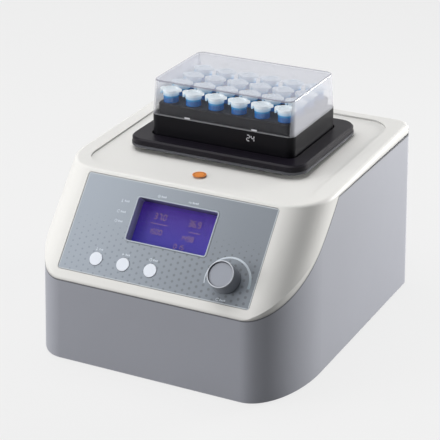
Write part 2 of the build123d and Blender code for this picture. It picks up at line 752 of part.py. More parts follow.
def supply_components():
    """Transformer, two capacitors and a finned heat sink, standing on the supply board."""
    low = BASE_TOP + SPACER_H + BOARD_T
    x, y = SUPPLY_AT
    transformer = Pos(x + TRANSFORMER_X, y, low) * Box(*TRANSFORMER, align=CENTRE_LOW)
    transformer = chamfer(transformer.edges().filter_by(Axis.Z), TRANSFORMER_EDGE)
    sink = Pos(x + SINK_X, y, low) * Box(*SINK_BASE, align=CENTRE_LOW)
    for i in range(SINK_FINS):
        fin_x = x + SINK_X + SINK_FIN_PITCH * (i - (SINK_FINS - 1) / 2)
        fin = Box(SINK_FIN_T, SINK_BASE[1], SINK_FIN_H, align=CENTRE_LOW)
        sink += Pos(fin_x, y, low + SINK_BASE[2]) * fin
    capacitors = [rod(x, y + side * CAPACITOR_Y, low, low + CAPACITOR_H, CAPACITOR_R) for side in (-1, 1)]
    return [transformer, sink, *capacitors]


# ---- Orbital drive -----------------------------------------------------------------------------------
PILLAR_IN = 8             # pillar axes inside the bridge plate's edges
BRIDGE_PILLAR_R = 5.5     # across the corners of the hexagon, halved
MOTOR_SCREW_SPREAD = 15.0
BRIDGE_PILLARS = [
    (x, STAGE_Y + y) for x, y in four(BRIDGE_W / 2 - PILLAR_IN, BRIDGE_D / 2 - PILLAR_IN)
]
BRIDGE_TOP = BRIDGE_Z + BRIDGE_T
IDLERS = [AXIS_X - IDLER_X, AXIS_X + IDLER_X]
IDLER_TOP = BRIDGE_TOP + IDLER_HOUSING_H
PIN_TOP = CARRIER_Z + CARRIER_T - 0.5
HUB_LOW = BRIDGE_TOP + HUB_FOOT
HUB_TOP = HUB_LOW + HUB_H


def bridge_plate():
    """Steel plate over the motor; everything that orbits stands on it."""
    plate = slab(BRIDGE_W, BRIDGE_D, 8.0, BRIDGE_Z, BRIDGE_TOP, 0, STAGE_Y)
    plate -= rod(AXIS_X, STAGE_Y, BRIDGE_Z - 1, BRIDGE_TOP + 1, 2.5 * SHAFT_R)
    for x, y in BRIDGE_PILLARS:
        plate -= rod(x, y, BRIDGE_Z - 1, BRIDGE_TOP + 1, SCREW_HOLE_R)
    for x, y in MOTOR_SCREWS:
        plate -= rod(x, y, BRIDGE_Z - 1, BRIDGE_TOP + 1, SCREW_HOLE_R)
    return plate


MOTOR_SCREWS = [(AXIS_X + x, STAGE_Y + y) for x, y in four(MOTOR_SCREW_SPREAD, MOTOR_SCREW_SPREAD)]


def bridge_pillar(x, y):
    pillar = Pos(x, y, BASE_TOP) * extrude(RegularPolygon(BRIDGE_PILLAR_R, 6), BRIDGE_Z - BASE_TOP)
    pillar -= rod(x, y, BASE_TOP - 1, BASE_TOP + 12, SCREW_R + PRESS_FIT)
    return pillar - rod(x, y, BRIDGE_Z - 12, BRIDGE_Z + 1, SCREW_R + PRESS_FIT)


def bridge_screws():
    """Screws at both ends of the pillars."""
    screws = [screw(x, y, BRIDGE_Z - 10, BRIDGE_TOP) for x, y in BRIDGE_PILLARS]
    lower = [screw(x, y, PLATE_Z, BASE_TOP + 10, head_up=False) for x, y in BRIDGE_PILLARS]
    return screws + lower


def drive_motor():
    """Flat brushless motor, hung under the bridge plate."""
    low = BRIDGE_Z - MOTOR_H
    motor = rod(AXIS_X, STAGE_Y, low, BRIDGE_Z, MOTOR_R)
    motor = chamfer(motor.edges().filter_by(GeomType.CIRCLE).sort_by(Axis.Z)[0], 2.0)
    for x, y in MOTOR_SCREWS:
        motor -= rod(x, y, BRIDGE_Z - 8, BRIDGE_Z + 1, SCREW_R + PRESS_FIT)
    return motor - rod(AXIS_X, STAGE_Y, low + MOTOR_H / 3, BRIDGE_Z + 1, SHAFT_R + SHAFT_FIT)


def motor_screws():
    return [
        rod(x, y, BRIDGE_Z - 7, BRIDGE_TOP, SCREW_R) + rod(x, y, BRIDGE_TOP, BRIDGE_TOP + 0.8, SCREW_HEAD_R)
        for x, y in MOTOR_SCREWS
    ]


def motor_shaft():
    low = BRIDGE_Z - MOTOR_H * 2 / 3 + 1
    return rod(AXIS_X, STAGE_Y, low, HUB_TOP - RIB_T, SHAFT_R)


def eccentric_hub():
    """Hub on the motor shaft with the crank pin turned off centre."""
    hub = rod(AXIS_X, STAGE_Y, HUB_LOW, HUB_TOP, HUB_R)
    hub += rod(AXIS_X + ORBIT_R, STAGE_Y, HUB_TOP, PIN_TOP, PIN_R)
    return hub - rod(AXIS_X, STAGE_Y, HUB_LOW - 1, HUB_TOP - RIB_T, SHAFT_R + PRESS_FIT)


def counterweight():
    """Half disc opposite the crank pin, with a clamping ring round the hub."""
    low = HUB_LOW + WEIGHT_LIFT
    half = rod(AXIS_X, STAGE_Y, low, low + WEIGHT_H, WEIGHT_R)
    half &= Pos(AXIS_X, STAGE_Y, low) * Box(
        WEIGHT_R, 2 * WEIGHT_R, WEIGHT_H, align=(Align.MAX, Align.CENTER, Align.MIN)
    )
    ring = rod(AXIS_X, STAGE_Y, low, low + WEIGHT_H, HUB_R + 4)
    return half + ring - rod(AXIS_X, STAGE_Y, low - 1, low + WEIGHT_H + 1, HUB_R + PRESS_FIT)


def carrier_bearing():
    """Ball bearing of the crank pin, seated in the carrier."""
    ring = rod(AXIS_X + ORBIT_R, STAGE_Y, CARRIER_Z, CARRIER_Z + BEARING_H, BEARING_R)
    return ring - rod(AXIS_X + ORBIT_R, STAGE_Y, CARRIER_Z - 1, CARRIER_Z + BEARING_H + 1, PIN_R + SHAFT_FIT)


def idler_housing(x):
    """Flanged bearing housing screwed to the bridge plate."""
    body = rod(x, STAGE_Y, BRIDGE_TOP, BRIDGE_TOP + IDLER_FLANGE_T, IDLER_FLANGE_R)
    body += rod(x, STAGE_Y, BRIDGE_TOP, IDLER_TOP, IDLER_HOUSING_R)
    return body - rod(x, STAGE_Y, BRIDGE_TOP - 1, IDLER_TOP + 1, IDLER_R + SHAFT_FIT)


def idler_crank(x):
    """Journal, round web and offset pin, all with the platform's throw."""
    low = IDLER_TOP + CRANK_LIFT
    journal = rod(x, STAGE_Y, BRIDGE_TOP + 1, low, IDLER_R)
    web = rod(x + ORBIT_R / 2, STAGE_Y, low, low + CRANK_T, CRANK_R)
    return journal + web + rod(x + ORBIT_R, STAGE_Y, low + CRANK_T, PIN_TOP, IDLER_R)


# ---- Orbiting stage ------------------------------------------------------------------------------------


def platform_carrier():
    """Plate with the bearing seat, the idler holes and pockets between its ribs."""
    top = CARRIER_Z + CARRIER_T
    plate = slab(CARRIER_W, CARRIER_D, CARRIER_R, CARRIER_Z, top, 0, STAGE_Y)
    pocket = CARRIER_T / 2
    for x, y in four(30.0, 30.0):
        plate -= slab(34.0, 26.0, 4.0, CARRIER_Z - 1, CARRIER_Z + pocket, x, STAGE_Y + y)
    plate -= rod(AXIS_X + ORBIT_R, STAGE_Y, CARRIER_Z - 1, top + 1, BEARING_R + PRESS_FIT)
    for x in IDLERS:
        plate -= rod(x + ORBIT_R, STAGE_Y, CARRIER_Z - 1, top + 1, IDLER_R + IDLER_PIN_GAP)
    return plate


def insulation_pad():
    """Foam between the carrier and the heater plate."""
    top = CARRIER_Z + CARRIER_T
    pad = slab(HEATER_W, HEATER_D, HEATER_R, top, HEATER_Z, 0, STAGE_Y)
    for x, y in BUSHES:
        pad -= rod(x, y, top - 1, HEATER_Z + 1, BUSH_R + PANEL_FIT)
    for x in [AXIS_X] + IDLERS:
        pad -= rod(x + ORBIT_R, STAGE_Y, top - 1, top + IDLER_R, 2 * IDLER_R)
    return pad


def insulating_bush(x, y):
    return rod(x, y, CARRIER_Z + CARRIER_T, HEATER_Z, BUSH_R) - rod(
        x, y, CARRIER_Z + CARRIER_T - 1, HEATER_Z + 1, SCREW_HOLE_R
    )


def heater_plate():
    top = HEATER_Z + HEATER_T
    plate = slab(HEATER_W, HEATER_D, HEATER_R, HEATER_Z, top, 0, STAGE_Y)
    for x, y in BUSHES:
        plate -= rod(x, y, HEATER_Z - 1, top + 1, SCREW_HOLE_R)
        plate -= rod(x, y, top - SCREW_HEAD_T - SEAM_GAP, top + 1, SCREW_HEAD_R + PANEL_FIT)
    sensor = Pos(0, STAGE_Y - HEATER_D / 2, HEATER_Z + HEATER_T / 2) * Rot(-90, 0, 0)
    return plate - sensor * Cylinder(SENSOR_R + PRESS_FIT, SENSOR_IN, align=CENTRE_LOW)


SENSOR_R = 1.6
SENSOR_IN = 18.0
SENSOR_OUT = 2.0


def temperature_sensor():
    place = Pos(0, STAGE_Y - HEATER_D / 2 - SENSOR_OUT, HEATER_Z + HEATER_T / 2) * Rot(-90, 0, 0)
    return place * Cylinder(SENSOR_R, SENSOR_IN + SENSOR_OUT, align=CENTRE_LOW)


def heater_screws():
    top = HEATER_Z + HEATER_T - SCREW_HEAD_T - SEAM_GAP
    return [screw(x, y, CARRIER_Z + CARRIER_T, top) for x, y in BUSHES]


def block_window(low, high):
    """Clear way through the platform for the tube block."""
    return slab(
        BLOCK_W + 2 * BLOCK_GAP, BLOCK_D + 2 * BLOCK_GAP, BLOCK_R + BLOCK_GAP, low, high, 0, STAGE_Y
    )


STAGE_COVER_Z = STAGE_TOP_Z - STAGE_COVER_T
STAGE_BASE_Z = STAGE_COVER_Z - STAGE_BASE_T


def platform_base():
    """Thin metal plate under the platform cover, screwed to the posts."""
    plate = slab(
        STAGE_W + 2 * STAGE_BASE_OUT, STAGE_D + 2 * STAGE_BASE_OUT, STAGE_R + STAGE_BASE_OUT,
        STAGE_BASE_Z, STAGE_COVER_Z, 0, STAGE_Y,
    )
    for x, y in POSTS:
        plate -= rod(x, y, STAGE_BASE_Z - 1, STAGE_COVER_Z + 1, SCREW_R * 0.75 + PANEL_FIT)
    return plate - block_window(STAGE_BASE_Z - 1, STAGE_COVER_Z + 1)


def platform_cover():
    """Black bevelled frame round the tube block, with recesses for the post screws."""
    frame = slab(STAGE_W, STAGE_D, STAGE_R, STAGE_COVER_Z, STAGE_TOP_Z, 0, STAGE_Y)
    frame = chamfer(frame.faces().sort_by(Axis.Z)[-1].edges(), STAGE_BEVEL)
    for x, y in POSTS:
        frame -= rod(x, y, STAGE_COVER_Z - 1, STAGE_COVER_Z + SCREW_HEAD_T + SEAM_GAP, POST_R + PANEL_FIT)
    return frame - block_window(STAGE_COVER_Z - 1, STAGE_TOP_Z + 1)


def carrier_post(x, y):
    post = rod(x, y, CARRIER_Z + CARRIER_T, STAGE_BASE_Z, POST_R)
    return post - rod(x, y, STAGE_BASE_Z - 9, STAGE_BASE_Z + 1, SCREW_R * 0.75 + PRESS_FIT)


def platform_screws():
    screws = []
    for x, y in POSTS:
        head = rod(x, y, STAGE_COVER_Z, STAGE_COVER_Z + SCREW_HEAD_T, SCREW_R * 1.4)
        screws.append(rod(x, y, STAGE_BASE_Z - 8, STAGE_COVER_Z, SCREW_R * 0.75) + head)
    return screws


# ---- Tube block, tubes and lid ----------------------------------------------------------------------------
PLACES = [
    ((i - (TUBE_COLUMNS - 1) / 2) * TUBE_PITCH_X, STAGE_Y + (j - (TUBE_ROWS - 1) / 2) * TUBE_PITCH_Y)
    for j in range(TUBE_ROWS)
    for i in range(TUBE_COLUMNS)
]
BLOCK_Z = HEATER_Z + HEATER_T


def tube_profile(grow, low, high):
    """Half section of a tapered tube: round tip, cone and straight body."""
    edges = [
        Line((0, low), (TUBE_TIP_R + grow, low)),
        Line((TUBE_TIP_R + grow, low), (TUBE_R + grow, TUBE_CONE_Z)),
        Line((TUBE_R + grow, TUBE_CONE_Z), (TUBE_R + grow, high)),
        Line((TUBE_R + grow, high), (0, high)),
        Line((0, high), (0, low)),
    ]
    return revolve(Plane.XZ * make_face(edges), Axis.Z)


def tube_block():
    """Lower block, whose rim is the ledge for the lid, and the well plate that lies on it."""
    lower = slab(BLOCK_W, BLOCK_D, BLOCK_R, BLOCK_Z, LEDGE_Z, 0, STAGE_Y)
    upper = slab(
        BLOCK_W - 2 * LEDGE_IN, BLOCK_D - 2 * LEDGE_IN, WELL_PLATE_R, LEDGE_Z, BLOCK_TOP_Z, 0, STAGE_Y
    )
    upper = chamfer(upper.faces().sort_by(Axis.Z)[-1].edges(), 0.8)
    well = tube_profile(WELL_GAP, TUBE_TIP_Z - WELL_GAP, BLOCK_TOP_Z + 1)
    for x, y in PLACES:
        lower -= Pos(x, y, 0) * well
        upper -= Pos(x, y, 0) * well
    return [lower, upper]


def sample_tube(x, y):
    """Tube with its sample, up to the collar that rests on the block."""
    tube = tube_profile(0, TUBE_TIP_Z, COLLAR_Z)
    tube += rod(0, 0, BLOCK_TOP_Z, CAP_Z, COLLAR_R)
    return Pos(x, y, 0) * tube


def tube_cap(x, y):
    """Snap cap with its opening tab and hinge lug."""
    rim = rod(0, 0, CAP_TOP_Z - CAP_RIM_T, CAP_TOP_Z, CAP_RIM_R)
    tab = slab(2 * CAP_REACH, CAP_TAB_W, CAP_TAB_W / 2 - 0.1, CAP_TOP_Z - CAP_RIM_T, CAP_TOP_Z)
    lug = Box(CAP_LUG_T, CAP_LUG_W, CAP_TOP_Z - CAP_Z, align=CENTRE_LOW)
    lug = Pos(CAP_LUG_T - CAP_REACH, 0, CAP_Z) * lug
    cap = rod(0, 0, CAP_Z, CAP_TOP_Z, CAP_R) + rim + tab + lug
    return Pos(x, y, 0) * (cap - rod(0, 0, CAP_TOP_Z - CAP_DISH, CAP_TOP_Z + 1, CAP_R - CAP_WALL))


def lid_outline(z, inset):
    lean = (z - LEDGE_Z) / (LID_TOP_Z - LEDGE_Z) * LID_LEAN + inset
    outline = RectangleRounded(BLOCK_W - 2 * lean, BLOCK_D - 2 * lean, BLOCK_R - inset)
    return Pos(0, STAGE_Y, z) * outline


def clear_lid():
    """Clear drafted lid, open below, with a soft top edge."""
    outer = loft([lid_outline(LEDGE_Z, 0), lid_outline(LID_TOP_Z, 0)], ruled=True)
    outer = fillet(outer.faces().sort_by(Axis.Z)[-1].edges(), LID_EDGE_R)
    roof = LID_TOP_Z - LID_WALL
    inner = loft([lid_outline(LEDGE_Z - 1, LID_WALL), lid_outline(roof, LID_WALL)], ruled=True)
    return outer - inner


# ---- Rear pieces -------------------------------------------------------------------------------------
FLANGE_FACE = REAR_FACE + FLANGE_T
PIN_PLACES = [
    (INLET_X - PIN_PITCH, INLET_Z + SOCKET_UP - PIN_DROP),
    (INLET_X, INLET_Z + SOCKET_UP + PIN_DROP),
    (INLET_X + PIN_PITCH, INLET_Z + SOCKET_UP - PIN_DROP),
]
SOCKET_FLOOR = FLANGE_FACE - SOCKET_DEEP
INLET_BACK = REAR_FACE - INLET_DEEP


def inlet_pin(x, z):
    return rear_slab(PIN_W, PIN_H, 0, INLET_BACK - PIN_TAIL, FLANGE_FACE - PIN_SHORT, x, z)


def power_inlet():
    """Three-pin inlet with a fuse drawer below the socket."""
    body = rear_slab(INLET_W, INLET_H, 1.0, INLET_BACK, REAR_FACE, INLET_X, INLET_Z)
    body += rear_slab(
        INLET_W + 2 * INLET_FLANGE, INLET_H + 2 * INLET_FLANGE, 2.0, REAR_FACE, FLANGE_FACE, INLET_X, INLET_Z
    )
    socket = rear_slab(SOCKET_W, SOCKET_H, 0, SOCKET_FLOOR, FLANGE_FACE + 1, INLET_X, INLET_Z + SOCKET_UP)
    upper = [e for e in socket.edges().filter_by(Axis.Y) if e.center().Z > INLET_Z + SOCKET_UP]
    body -= chamfer(upper, SOCKET_CORNER)
    for x, z in PIN_PLACES:
        slot_w = PIN_W + 2 * PRESS_FIT
        slot_h = PIN_H + 2 * PRESS_FIT
        body -= rear_slab(slot_w, slot_h, 0, INLET_BACK - 1, SOCKET_FLOOR + 1, x, z)
    slot = rear_slab(
        DRAWER_W + 2 * DRAWER_FIT, DRAWER_H + 2 * DRAWER_FIT, 0,
        FLANGE_FACE - DRAWER_DEEP - DRAWER_FIT, FLANGE_FACE + 1, INLET_X, INLET_Z - DRAWER_DOWN,
    )
    return body - slot


def fuse_drawer():
    """Drawer for two fuses, with a pull lip at its front."""
    back = FLANGE_FACE - DRAWER_DEEP
    z = INLET_Z - DRAWER_DOWN
    drawer = rear_slab(DRAWER_W, DRAWER_H, 0, back, FLANGE_FACE + 0.6, INLET_X, z)
    for x in (-FUSE_PITCH / 2, FUSE_PITCH / 2):
        seat = rear_rod(INLET_X + x, z, back + 1, back + 1 + FUSE_L + 2 * PRESS_FIT, FUSE_R + PRESS_FIT)
        mouth = Pos(INLET_X + x, back + 1, z) * Box(
            2 * FUSE_R - 1, FUSE_L, DRAWER_H, align=(Align.CENTER, Align.MIN, Align.MIN)
        )
        drawer -= seat + mouth
    return drawer


def fuses():
    low = FLANGE_FACE - DRAWER_DEEP + 1 + PRESS_FIT
    z = INLET_Z - DRAWER_DOWN
    return [rear_rod(INLET_X + x, z, low, low + FUSE_L, FUSE_R) for x in (-FUSE_PITCH / 2, FUSE_PITCH / 2)]


PIVOT_Y = REAR_FACE - ROCKER_IN


def cross_rod(y, z, half_length, r, x=INLET_X):
    """Round bar along X."""
    return Pos(x, y, z) * Rot(0, 90, 0) * Cylinder(r, 2 * half_length)


def switch_frame():
    """Snap-in frame whose round pocket holds the rocker's pivots."""
    body = rear_slab(
        ROCKER_FRAME_W, ROCKER_FRAME_H, 1.0, REAR_FACE - ROCKER_FRAME_DEEP, REAR_FACE, INLET_X, ROCKER_Z
    )
    body += rear_slab(
        ROCKER_FRAME_W + 2 * ROCKER_BEZEL, ROCKER_FRAME_H + 2 * ROCKER_BEZEL, 1.5,
        REAR_FACE, FLANGE_FACE, INLET_X, ROCKER_Z,
    )
    body -= cross_rod(PIVOT_Y, ROCKER_Z, ROCKER_W / 2 + ROCKER_GAP, ROCKER_R + ROCKER_GAP)
    return body - cross_rod(PIVOT_Y, ROCKER_Z, ROCKER_FRAME_W, ROCKER_PIN_R + SHAFT_FIT)


def power_rocker():
    """Rocker with two slanted faces, at rest with its upper face pressed in."""
    place = Pos(INLET_X, PIVOT_Y, ROCKER_Z)
    drum = Rot(0, 90, 0) * Cylinder(ROCKER_R, ROCKER_W)
    for lean in (0.0, 2 * ROCKER_TILT):
        drum -= Rot(lean, 0, 0) * Pos(0, ROCKER_FACE, 0) * Box(
            2 * ROCKER_W, 2 * ROCKER_R, 4 * ROCKER_R, align=(Align.CENTER, Align.MIN, Align.CENTER)
        )
    drum += Rot(0, 90, 0) * Cylinder(ROCKER_PIN_R, ROCKER_FRAME_W - 2 * SEAM_GAP)
    return place * drum


def fan_frame():
    """Square fan frame with a motor base on three struts."""
    low = REAR_INNER - FAN_T
    frame = rear_slab(FAN_SIZE, FAN_SIZE, 4.0, low, REAR_INNER, FAN_X, FAN_Z)
    frame -= rear_rod(FAN_X, FAN_Z, low - 1, REAR_INNER + 1, FAN_BORE_R)
    base = rear_rod(FAN_X, FAN_Z, low, low + FAN_BASE_T, FAN_BASE_R)
    for i in range(3):
        base += Pos(FAN_X, low, FAN_Z) * Rot(0, 120 * i + 30, 0) * Box(
            FAN_BORE_R + 1, FAN_BASE_T, 3.0, align=(Align.MIN, Align.MIN, Align.CENTER)
        )
    frame += base
    frame -= rear_rod(FAN_X, FAN_Z, low - 1, low + FAN_BASE_T + 1, SPINDLE_R + SHAFT_FIT)
    for x, z in four(FAN_HOLE, FAN_HOLE):
        frame -= rear_rod(FAN_X + x, FAN_Z + z, low - 1, REAR_INNER + 1, SCREW_R + PRESS_FIT)
    return frame


def fan_rotor():
    """Hub, spindle and slanted blades."""
    low = REAR_INNER - FAN_T + FAN_BASE_T + 1
    rotor = rear_rod(FAN_X, FAN_Z, low, low + ROTOR_L, ROTOR_R)
    rotor += rear_rod(FAN_X, FAN_Z, low - FAN_BASE_T, low, SPINDLE_R)
    keep = rear_rod(FAN_X, FAN_Z, low + 0.5, low + ROTOR_L - 0.5, BLADE_R)
    for i in range(FAN_BLADES):
        blade = Rot(0, i * 360 / FAN_BLADES, 0) * Rot(BLADE_TILT, 0, 0) * Box(
            BLADE_R + 1, BLADE_CHORD, BLADE_T, align=(Align.MIN, Align.CENTER, Align.CENTER)
        )
        rotor += (Pos(FAN_X, low + ROTOR_L / 2, FAN_Z) * blade) & keep
    return rotor


def fan_guard():
    """Finger guard outside the rear wall: rings on a cross of spokes with screw ears."""
    high = REAR_FACE + GUARD_T
    step = (GUARD_R - GUARD_RING) / GUARD_RINGS
    guard = rear_rod(FAN_X, FAN_Z, REAR_FACE, high, step / 2)
    for i in range(1, GUARD_RINGS + 1):
        r = i * step + GUARD_RING
        guard += rear_rod(FAN_X, FAN_Z, REAR_FACE, high, r) - rear_rod(
            FAN_X, FAN_Z, REAR_FACE - 1, high + 1, r - GUARD_RING
        )
    for turn in (45, 135):
        guard += Pos(FAN_X, REAR_FACE, FAN_Z) * Rot(0, turn, 0) * Box(
            2 * FAN_HOLE * 2 ** 0.5, GUARD_T, GUARD_SPOKE, align=(Align.CENTER, Align.MIN, Align.CENTER)
        )
    for x, z in four(FAN_HOLE, FAN_HOLE):
        guard += rear_rod(FAN_X + x, FAN_Z + z, REAR_FACE, high, EAR_R)
        guard -= rear_rod(FAN_X + x, FAN_Z + z, REAR_FACE - 1, high + 1, SCREW_HOLE_R)
        guard -= rear_rod(FAN_X + x, FAN_Z + z, high - FLANGE_T, high + 1, SCREW_HEAD_R - PANEL_FIT)
    return guard


def fan_screws():
    high = REAR_FACE + GUARD_T
    seat = high - FLANGE_T
    return [
        rear_rod(FAN_X + x, FAN_Z + z, REAR_INNER - FAN_T + 2, seat, SCREW_R)
        + rear_rod(FAN_X + x, FAN_Z + z, seat, high - SEAM_GAP, SCREW_HEAD_R - 2 * PANEL_FIT)
        for x, z in four(FAN_HOLE, FAN_HOLE)
    ]


# ---- Write every node --------------------------------------------------------------------------------
save("lower_housing", lower_housing())
save("top_cover", top_cover())
save("bottom_plate", bottom_plate())
save("rubber_feet", *[rubber_foot(x, y) for x, y in FEET])
save("case_screws", *[base_screw(x, y) for x, y in BASE_BOSSES], *[cover_screw(x, y) for x, y in PILLARS])
save("control_overlay", control_overlay())
save("lcd_bezel", lcd_bezel())
save("lcd_window", lcd_window())
save("lcd_module", lcd_module())
save("control_board", control_board())
save("board_screws", *board_screws())
save("button_switches", *[button_switch(x) for x in BUTTON_XS])
for number, x in enumerate(BUTTON_XS, start=1):
    save("button_" + str(number), button(x))
save("encoder_body", encoder_body())
save("encoder_slider", encoder_slider())
save("encoder_shaft", encoder_shaft())
save("knob", knob())
save("knob_disc", knob_disc())
save("supply_board", board(SUPPLY_AT, SUPPLY_SIZE))
save("supply_components", *supply_components())
save("driver_board", board(DRIVER_AT, DRIVER_SIZE))
save("board_spacers", *spacers(SUPPLY_AT, SUPPLY_SIZE), *spacers(DRIVER_AT, DRIVER_SIZE))
save("bridge_plate", bridge_plate())
save("bridge_pillars", *[bridge_pillar(x, y) for x, y in BRIDGE_PILLARS])
save("bridge_screws", *bridge_screws())
save("drive_motor", drive_motor())
save("motor_screws", *motor_screws())
save("motor_shaft", motor_shaft())
save("eccentric_hub", eccentric_hub())
save("counterweight", counterweight())
save("carrier_bearing", carrier_bearing())
save("idler_housings", *[idler_housing(x) for x in IDLERS])
save("idler_crank_left", idler_crank(IDLERS[0]))
save("idler_crank_right", idler_crank(IDLERS[1]))
save("platform_carrier", platform_carrier())
save("carrier_posts", *[carrier_post(x, y) for x, y in POSTS])
save("insulation_pad", insulation_pad())
save("insulating_bushes", *[insulating_bush(x, y) for x, y in BUSHES])
save("heater_plate", heater_plate())
save("temperature_sensor", temperature_sensor())
save("platform_base", platform_base())
save("platform_cover", platform_cover())
save("stage_screws", *heater_screws(), *platform_screws())
save("tube_block", *tube_block())
save("sample_tubes", *[sample_tube(x, y) for x, y in PLACES])
save("tube_caps", *[tube_cap(x, y) for x, y in PLACES])
save("clear_lid", clear_lid())
save("power_inlet", power_inlet())
save("inlet_pins", *[inlet_pin(x, z) for x, z in PIN_PLACES])
save("fuse_drawer", fuse_drawer())
save("fuses", *fuses())
save("switch_frame", switch_frame())
save("power_rocker", power_rocker())
save("fan_frame", fan_frame())
save("fan_rotor", fan_rotor())
save("fan_guard", fan_guard())
save("fan_screws", *fan_screws())
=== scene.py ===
# %% [markdown]
# # Thermal mixer
# This instrument warms and shakes small lab tubes. A black platform with a 24-place
# block moves in small circles on top of a white and grey housing, and a clear lid
# keeps the tubes warm.
#
# Its shape comes from CAD, and is loaded here as a frame that this script leaves where
# it is. What CAD can't give is added: a material for every node, thin printed marks,
# a camera and a small studio. Modelling the housing again in Blender would be possible,
# but then the joints and the looks could drift apart.
#
# Lengths in the text are millimetres; the scene itself is in metres.

# %% Frame
import json
import math

import bmesh
import bpy
from mathutils import Matrix, Vector


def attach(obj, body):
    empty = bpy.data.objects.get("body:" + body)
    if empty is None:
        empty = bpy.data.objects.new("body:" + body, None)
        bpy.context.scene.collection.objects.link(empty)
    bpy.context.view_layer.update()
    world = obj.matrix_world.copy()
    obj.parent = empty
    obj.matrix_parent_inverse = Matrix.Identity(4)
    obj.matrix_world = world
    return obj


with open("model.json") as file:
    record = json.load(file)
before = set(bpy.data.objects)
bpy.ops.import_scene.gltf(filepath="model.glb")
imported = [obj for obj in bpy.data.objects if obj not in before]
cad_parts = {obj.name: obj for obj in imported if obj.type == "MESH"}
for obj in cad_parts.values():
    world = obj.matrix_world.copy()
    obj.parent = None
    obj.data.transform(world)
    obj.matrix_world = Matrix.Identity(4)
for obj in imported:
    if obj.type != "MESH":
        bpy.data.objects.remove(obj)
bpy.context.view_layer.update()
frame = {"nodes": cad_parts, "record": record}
nodes = frame["nodes"]
MM = 0.001
print("frame:", len(nodes), "nodes")

# %% [markdown]
# ## Camera
# A product picture is usually taken from some distance with a long lens, because the
# edges of a box then stay nearly parallel. A short lens close by would show the same
# faces, but it would make the front corner bulge. So the camera stands 1.4 metres away,
# right of the front and above it, and a quaternion aims it at the middle of the housing.

# %% Camera
camera_data = bpy.data.cameras.new("camera")
camera_data.sensor_width = 36.0
camera_data.lens = 142.75
camera_data.clip_start = 0.05
camera_data.clip_end = 60.0
camera = bpy.data.objects.new("camera", camera_data)
camera.location = Vector((589.5, -1176.1, 665.4)) * MM
aim = Vector((-2.29, -3.0, 86.21)) * MM - camera.location
camera.rotation_mode = "QUATERNION"
camera.rotation_quaternion = aim.to_track_quat("-Z", "Y")
bpy.context.scene.collection.objects.link(camera)
bpy.context.scene.camera = camera
print("camera at", [round(c, 4) for c in camera.location])

# %% [markdown]
# ## Shader arithmetic
# A material that changes over a surface needs sums: how far is this point from the
# seam, is it above the rim? Each sum is a chain of Math nodes. Such a chain could be
# placed and linked by hand, but it is hard to read later. A Wire is one socket that
# adds and multiplies like a number, so a formula reads as a formula and still builds
# ordinary nodes.

# %% Shader helpers
def feed(tree, slot, value):
    """Connects a Wire to an input, or sets the input to a plain value."""
    if isinstance(value, Wire):
        tree.links.new(value.socket, slot)
    else:
        slot.default_value = value


class Wire:
    """A shader socket that takes ordinary arithmetic."""

    def __init__(self, tree, socket):
        self.tree = tree
        self.socket = socket

    def maths(self, operation, *others):
        """Adds one Math node, with this wire as its first value."""
        node = self.tree.nodes.new("ShaderNodeMath")
        node.operation = operation
        for slot, value in zip(node.inputs, (self, *others)):
            feed(self.tree, slot, value)
        return Wire(self.tree, node.outputs[0])

    def __add__(self, other):
        return self.maths("ADD", other)

    def __sub__(self, other):
        return self.maths("SUBTRACT", other)

    def __mul__(self, other):
        return self.maths("MULTIPLY", other)

    def __rsub__(self, other):
        return self * -1.0 + other

    def __mod__(self, other):
        return self.maths("FLOORED_MODULO", other)

    def __abs__(self):
        return self.maths("ABSOLUTE")

    def ramp(self, low, high):
        """0 at low, 1 at high, smooth between."""
        node = self.tree.nodes.new("ShaderNodeMapRange")
        node.interpolation_type = "SMOOTHSTEP"
        feed(self.tree, node.inputs["Value"], self)
        feed(self.tree, node.inputs["From Min"], low)
        feed(self.tree, node.inputs["From Max"], high)
        return Wire(self.tree, node.outputs["Result"])


def linear(red, green, blue):
    """An 8-bit display colour as a linear one."""
    def one(c):
        c = c / 255
        return c / 12.92 if c <= 0.04045 else ((c + 0.055) / 1.055) ** 2.4
    return (one(red), one(green), one(blue), 1.0)


print("wires ready")

# %% [markdown]
# ## A material that builds itself
# Every finish here is one Principled shader with a few things fed into it. An image
# could carry the same grain, but it would need unwrapping and would blur close up.
# Noise that is computed from the object's own coordinates has no seams and stays
# sharp at any distance, and it moves with the piece when a joint moves.

